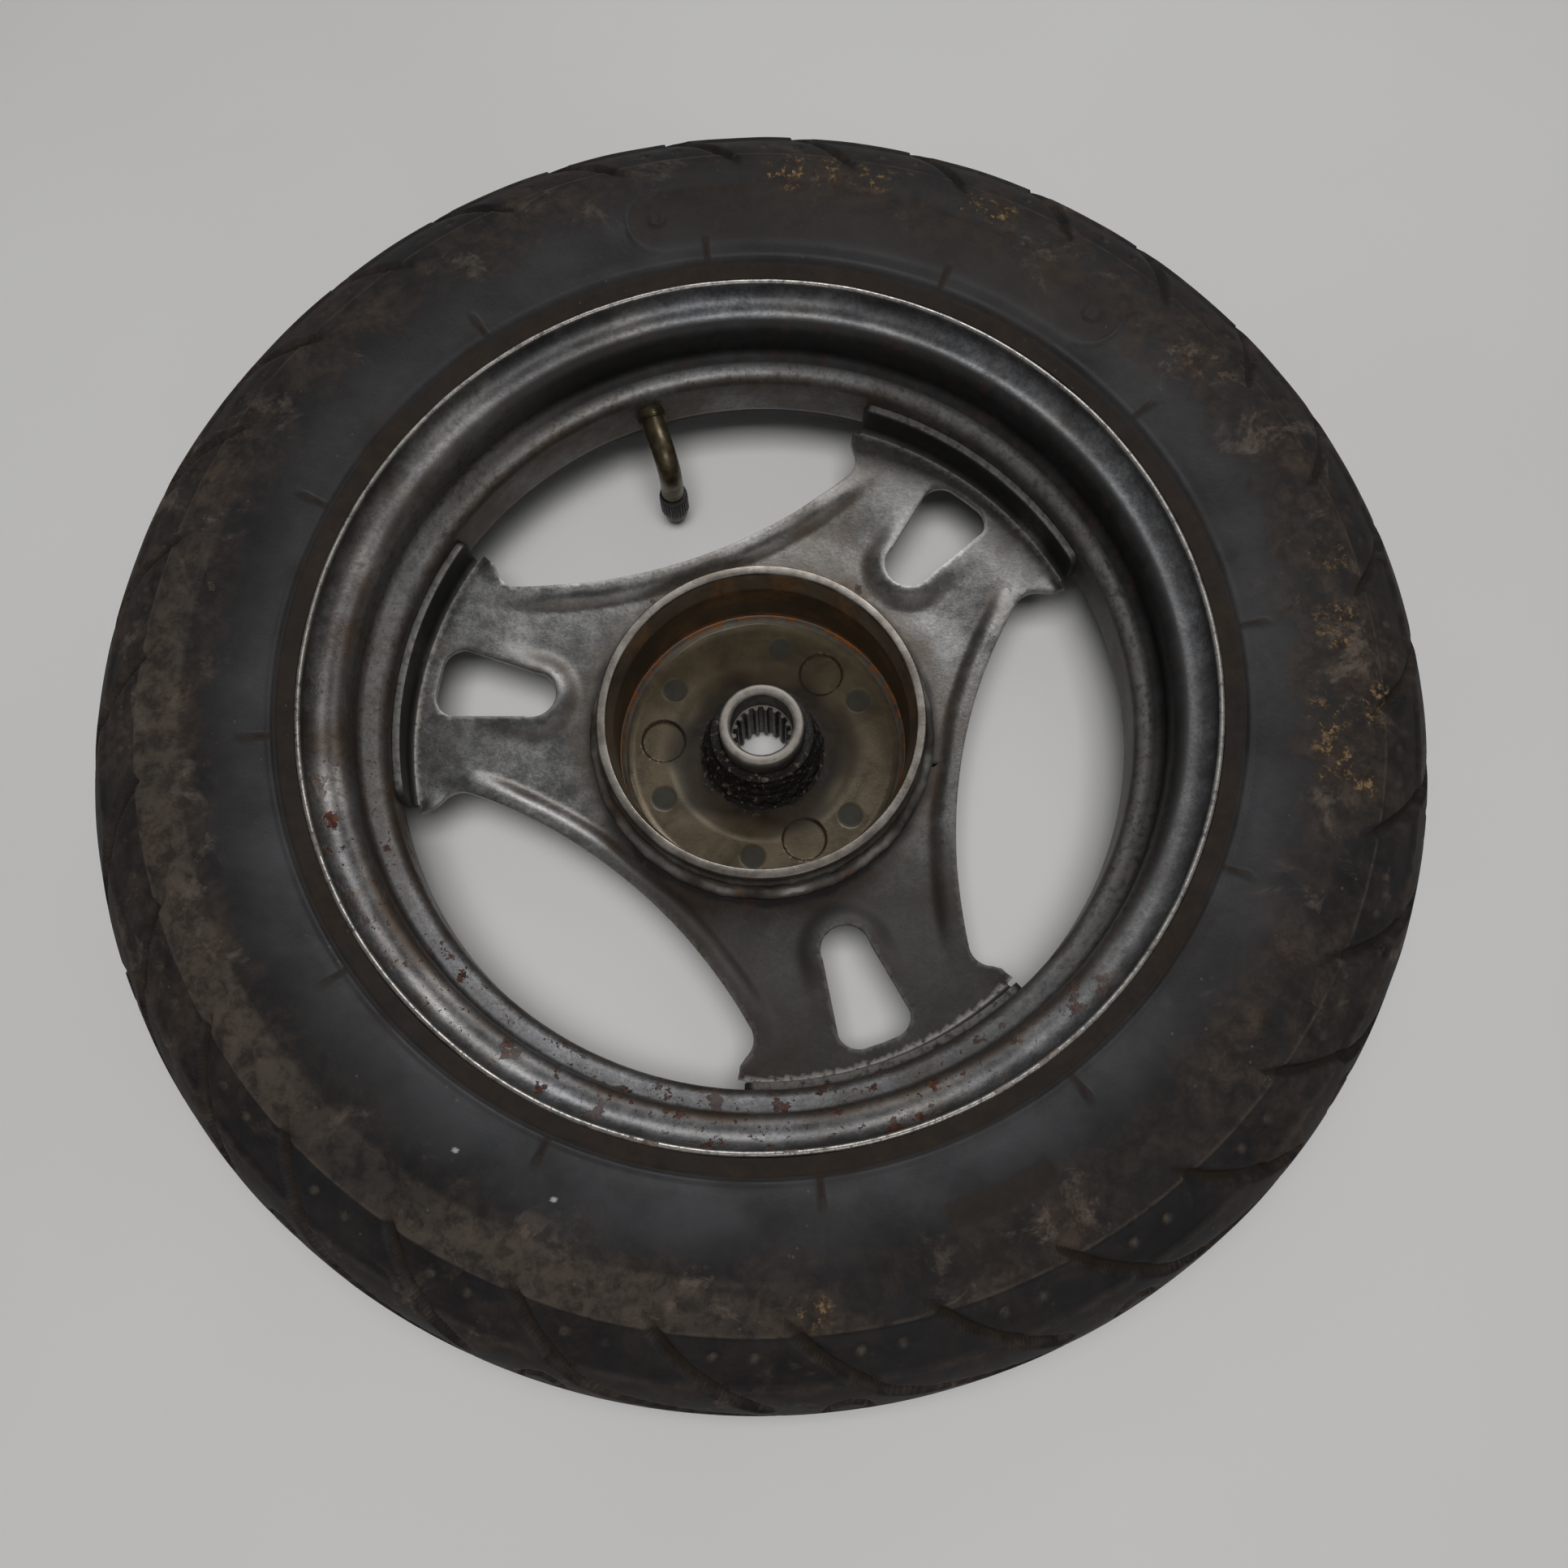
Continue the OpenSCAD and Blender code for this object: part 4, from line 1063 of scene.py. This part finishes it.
def make_hub():
    slot_low = PLATEAU_Z - DISC_T
    outline = [(LINER_OUT_R, RIM_OF_DRUM_Z), (51.7, RIM_OF_DRUM_Z), (51.2, 0.8), (51.2, -2.4), (52.6, -3.6),
               (53.2, -7.2), (55, -8), (RING_R, -9), (RING_R, PLATEAU_Z), (HUB_SEAT_R, PLATEAU_Z),
               (HUB_SEAT_R, slot_low), (RING_R, slot_low), (55.2, -16), (53.4, -17.6), (52, -31),
               (48.5, -35.2), (45, -35.8), (24, -35.8), (21, -37), (20, HUB_LOW), (SLEEVE_R, HUB_LOW),
               (SLEEVE_R, -11), (16.1, -11), (16.5, -11.6), (16.5, -14.2), (15.9, -14.9), (15.9, -15.7),
               (16.5, -16.4), (16.5, -19.6), (17.5, -21), (17.5, -23.2), (17.0, -23.9), (17.0, -24.7),
               (17.8, -25.6), (18.6, -27.4), (19.0, -29.2), (20.6, DISH_Z), (26.0, DISH_Z), (28.4, -30.5),
               (30.4, -29.9), (32.0, HUB_FLOOR_Z), (43.4, HUB_FLOOR_Z), (45.4, -28.9), (46.7, -27.6),
               (47.2, LINER_LOW), (LINER_OUT_R, LINER_LOW)]
    soft = rounded(outline, 0.7)
    fine = []
    for (r1, z1), (r2, z2) in zip(soft, soft[1:] + soft[:1]):
        floor_part = z1 < -24 and z1 > -33 and r1 < 48
        boss_part = r1 < 18 and z1 > -30
        step = 0.42 if floor_part else 0.7 if boss_part else 2.2
        n = max(1, math.ceil(math.hypot(r2 - r1, z2 - z1) / step))
        fine += [(r1 + (r2 - r1) * i / n, z1 + (z2 - z1) * i / n) for i in range(n)]
    grid = turned(fine, HUB_STEPS)
    radius, _, z = polar(grid)
    x, y = grid[..., 0], grid[..., 1]
    on_floor = (z < -28.6) & (z > -32) & (radius > 20) & (radius < 45)
    to_recess = nearest_gap(x, y, RECESS_PLACE_R, RECESS_TURNS)
    to_mark = nearest_gap(x, y, MARK_PLACE_R, MARK_TURNS)
    inside = fade(RECESS_R - 0.25, RECESS_R + 0.25, to_recess) * on_floor
    grid[..., 2] += ((DISH_Z - 0.5) - grid[..., 2]) * inside
    grid[..., 2] -= 0.35 * fade(3.7, 4.2, to_mark) * on_floor
    spots = fade(3.6, 4.6, to_mark) * on_floor
    recess = within(to_recess, RECESS_R, 0, 0.8)
    boss = (radius < 21) & (z < -11.3) & (z > -30.5) & (radius > SLEEVE_R + 0.4)
    rough = 0.4 * lumps(grid, 3.0, 41) + 0.4 * lumps(grid, 1.4, 42)
    bumps = np.where(boss, rough, 0) * smooth(-11.4, -14, z)
    away = grid[..., :2] / np.maximum(radius, 1)[..., None]
    grid[..., :2] += away * (0.3 * boss + bumps)[..., None]
    cast = (radius > 52.5) & (z < -3)
    cast_skin = np.where(cast, 0.28 * lumps(grid, 3.2, 43) + 0.18 * lumps(grid, 1.4, 44), 0)
    grid[..., :2] += away * cast_skin[..., None]
    grid[..., 2] += np.where(on_floor, 0.08 * lumps(grid, 9, 45), 0)
    inside_drum = (radius < 49) & (z > -32)
    wall = inside_drum & (radius > 45.6)
    grease = (radius < 20.4) & (z < -10.5) & (z > -31.2)
    smear = fade(19, 24, radius + 2.0 * lumps(grid, 5, 46)) * (z < -28) * (z > -33)
    brown = fade(23, 35, radius + 4 * lumps(grid, 8, 49)) * (z < -28) * (z > -33)
    marks = {
        "oil": np.where(inside_drum, np.where(wall, 0.35, 0.92), 0.25),
        "dirt": (np.where(cast, smooth(-0.4, 0.5, lumps(grid, 8, 47)) * 0.8 + 0.15, 0)
                 + 0.85 * ((radius > 50.8) & (radius < 52.9) & (z < 0.4) & (z > -7))
                 + 0.75 * recess * on_floor + 0.35 * wall + brown),
        "dull": spots * 0.9,
        "rust": (((radius > 46.4) & (radius < 48.5) & inside_drum & (z > -28.2))
                 + 0.25 * cast * smooth(0.1, 0.6, lumps(grid, 5, 48))),
        "grease": grease + 0.8 * smear,
    }
    piece("hub_body", "hub_casting", alloy, grid, grid_faces(HUB_STEPS, len(fine)), marks,
          sharp=38)


def make_liner():
    outline = [(DRUM_BORE_R + 1.75, DRUM_TOP), (DRUM_BORE_R, -4), (DRUM_BORE_R, LINER_LOW),
               (LINER_OUT_R, LINER_LOW), (LINER_OUT_R, RIM_OF_DRUM_Z), (52.2, RIM_OF_DRUM_Z),
               (52.2, DRUM_TOP - 0.3), (51.9, DRUM_TOP)]
    soft = rounded(outline, 0.35)
    fine = spaced(soft + soft[:1], 1.2)[:-1]
    grid = turned(fine, HUB_STEPS)
    radius, _, z = polar(grid)
    marks = {
        "lip": smooth(DRUM_TOP - 1.6, DRUM_TOP - 0.7, z + 0.3 * (radius - 50)),
        "lead": smooth(-4.6, -3.4, z) * (radius < 49.6),
        "rust": (smooth(-23.5, -26, z + 0.8 * lumps(grid, 8, 51)) * 0.95
                 + 0.35 * smooth(0.0, 0.7, lumps(grid, 10, 52))),
    }
    piece("drum_liner", "brake_liner", iron, grid, grid_faces(HUB_STEPS, len(fine)), marks,
          sharp=35)


SPLINE_TEETH = 18
SPLINE_STEPS = 20
SPLINE_TOP = -12.5
SPLINE_TIP_R, SPLINE_ROOT_R = 8.3, 9.5
PLAIN_BORE_R = 10.15


def spline_radius(phase):
    """Radius of the splined hole at a phase from 0 to 1 across one tooth and space"""
    space = fade(0.26, 0.42, np.abs(phase - 0.5) * 2 * 0.62)
    return SPLINE_TIP_R + (SPLINE_ROOT_R - SPLINE_TIP_R) * space


def make_sleeve():
    steps = SPLINE_TEETH * SPLINE_STEPS
    phase = (np.arange(steps) % SPLINE_STEPS) / SPLINE_STEPS
    toothed = spline_radius(phase)
    top, low = SLEEVE_TOP, HUB_LOW
    outer = SLEEVE_R - 0.02
    rings = [(SLEEVE_R - 0.5, low), (outer, low + 0.5)]
    rings += [(outer, h) for h in np.linspace(low + 3, top - 1.0, 9)]
    rings += [(SLEEVE_R - 0.12, top - 0.5), (SLEEVE_R - 0.45, top - 0.12), (SLEEVE_R - 0.8, top),
              (PLAIN_BORE_R + 0.85, top), (PLAIN_BORE_R + 0.7, top - 0.08), (PLAIN_BORE_R + 0.12, top - 0.7),
              (PLAIN_BORE_R, top - 0.95)]
    rings += [(PLAIN_BORE_R, h) for h in np.linspace(top - 3, SPLINE_TOP + 0.5, 6)]
    rings += [(PLAIN_BORE_R - 0.12, SPLINE_TOP + 0.1),
              (np.maximum(toothed, SPLINE_ROOT_R) + 0.25, SPLINE_TOP),
              (toothed + 0.3, SPLINE_TOP - 0.02), (toothed, SPLINE_TOP - 0.4)]
    rings += [(toothed, h) for h in np.linspace(SPLINE_TOP - 2, low + 2, 10)]
    rings += [(toothed, low + 0.5), (toothed + 0.45, low)]
    grid = stacked(rings, steps)
    radius, _, z = polar(grid)
    bore_wall = (radius < 10.3) & (z < top - 0.8) & (z > SPLINE_TOP)
    teeth = (z < SPLINE_TOP - 0.3) * (0.75 + 0.25 * smooth(8.5, 9.3, radius))
    marks = {"dirt": 0.8 * bore_wall + teeth + 0.8 * ((radius > 13) & (z < -6))}
    piece("spline_sleeve", "splined_sleeve", sleeve_steel, grid,
          grid_faces(steps, len(rings)), marks, sharp=32)


# ---- valve cap ----

def make_cap():
    ribs, per_rib = 26, 10
    steps = ribs * per_rib
    phase = np.arange(steps) % per_rib / per_rib
    rib = smooth(0.15, 0.4, phase) * fade(0.6, 0.85, phase)
    outer = (CAP_HIGH[0] - CAP_LOW[0]) / 2
    root, skirt, stem, tip = outer - 0.65, outer - 1.05, 4.0, 0.01
    low, high = CAP_LOW[2], CAP_HIGH[2]
    rings = [(tip, low + 0.05), (1.8, low), (outer - 1.6, low + 0.25), (outer - 1.0, low + 0.9),
             (outer - 0.75, low + 2.2), (root, low + 3.8), (root + 0.25 * rib, low + 4.2)]
    rings += [(root + 0.65 * rib, h) for h in np.linspace(low + 4.7, high - 1.7, 6)]
    rings += [(root + 0.3 * rib, high - 1.2), (outer - 0.35, high - 0.9), (outer - 0.3, high - 0.3),
              (outer - 0.5, high), (outer - 0.95, high), (skirt, high - 0.3), (skirt, high - 3),
              (stem, high - 3), (stem, low + 3.2), (tip, low + 3.2)]
    faces = grid_faces(steps, len(rings), wrap_cols=False)
    cap = piece("knurled_cap", "valve_cap", cap_plastic,
                stacked(rings, steps, (CAP_X, CAP_Y)), faces, sharp=35)
    weld(cap, 0.03)


make_tyre()
make_rim()
make_disc()
make_hub()
make_liner()
make_sleeve()
make_cap()

# ---- CAD nodes that keep their own shape ----

CAD_FINISH = {
    "tyre_carcass": ply_cloth, "bead_wire_upper": bead_steel, "bead_wire_lower": bead_steel,
    "inner_tube": tube_rubber, "valve_base": tube_rubber, "valve_stem": valve_brass,
    "valve_collar": valve_brass, "valve_core_body": core_brass, "valve_core_pin": core_brass,
    "valve_core_spring": spring_steel, "valve_core_seal": seal_rubber, "cap_seal": seal_rubber,
    "foot_welds": weld_steel, "tyre_rubber": rubber, "rim": rim_paint, "wheel_disc": disc_paint,
    "hub_casting": alloy, "brake_liner": iron, "splined_sleeve": sleeve_steel, "valve_cap": cap_plastic,
}
for node_name, finish in CAD_FINISH.items():
    slots = frame["nodes"][node_name].data.materials
    slots.clear()
    slots.append(finish)

# ---- floor, light and camera ----

FLOOR_HALF = 3.0
WORLD_STRENGTH = 0.10
# name, place, size, power, and the kind of ray that doesn't see the light
LIGHTS = [("window", (0.55, 2.0, 2.4), (1.7, 1.2), 54, "visible_diffuse"),
          ("near_side", (0.55, -1.5, 1.9), (1.5, 0.7), 14, "visible_diffuse"),
          ("overhead", (0.0, -0.25, 1.9), (0.9, 0.7), 22, "visible_glossy")]
CAMERA_PLACE, CAMERA_AIM = (0, -0.1668, 0.4895), (0.006, -0.021, 0)
CAMERA_ROLL = 3.4
CAMERA_LENS, CAMERA_SENSOR = 37.27, 36


def make_floor():
    half = FLOOR_HALF
    mesh = bpy.data.meshes.new("floor")
    corners = [(-half, -half, FLOOR_Z), (half, -half, FLOOR_Z), (half, half, FLOOR_Z), (-half, half, FLOOR_Z)]
    mesh.from_pydata(corners, [], [(0, 1, 2, 3)])
    mesh.materials.append(floor_paint())
    shown("floor", mesh)


def area_light(name, place, size, power, unseen_by):
    """A soft rectangular light that points at the wheel's centre"""
    light = bpy.data.lights.new(name, "AREA")
    light.shape = "RECTANGLE"
    light.size, light.size_y = size
    light.energy = power
    obj = shown(name, light)
    obj.location = place
    obj.rotation_euler = (-Vector(place)).to_track_quat("-Z", "Y").to_euler()
    setattr(obj, unseen_by, False)


def make_world():
    world = bpy.data.worlds.new("studio")
    world.use_nodes = True
    background = world.node_tree.nodes["Background"].inputs
    background["Color"].default_value = (1.0, 1.0, 1.0, 1)
    background["Strength"].default_value = WORLD_STRENGTH
    bpy.context.scene.world = world


def make_camera():
    """Looks down at the wheel from its near side, a little turned"""
    place = Vector(CAMERA_PLACE)
    roll = math.radians(CAMERA_ROLL)
    back = (place - Vector(CAMERA_AIM)).normalized()
    right = Vector((0, 1, 0)).cross(back).normalized()
    up = back.cross(right)
    turned_right = right * math.cos(roll) - up * math.sin(roll)
    turned_up = up * math.cos(roll) + right * math.sin(roll)
    camera = bpy.data.cameras.new("camera")
    camera.lens = CAMERA_LENS
    camera.sensor_width = CAMERA_SENSOR
    camera.clip_start = 0.01
    pose = Matrix((turned_right, turned_up, back)).transposed().to_4x4()
    pose.translation = place
    bpy.context.scene.camera = shown("camera", camera)
    bpy.context.scene.camera.matrix_world = pose


make_floor()
make_world()
for light_facts in LIGHTS:
    area_light(*light_facts)
make_camera()
bpy.context.scene.view_settings.view_transform = "Standard"
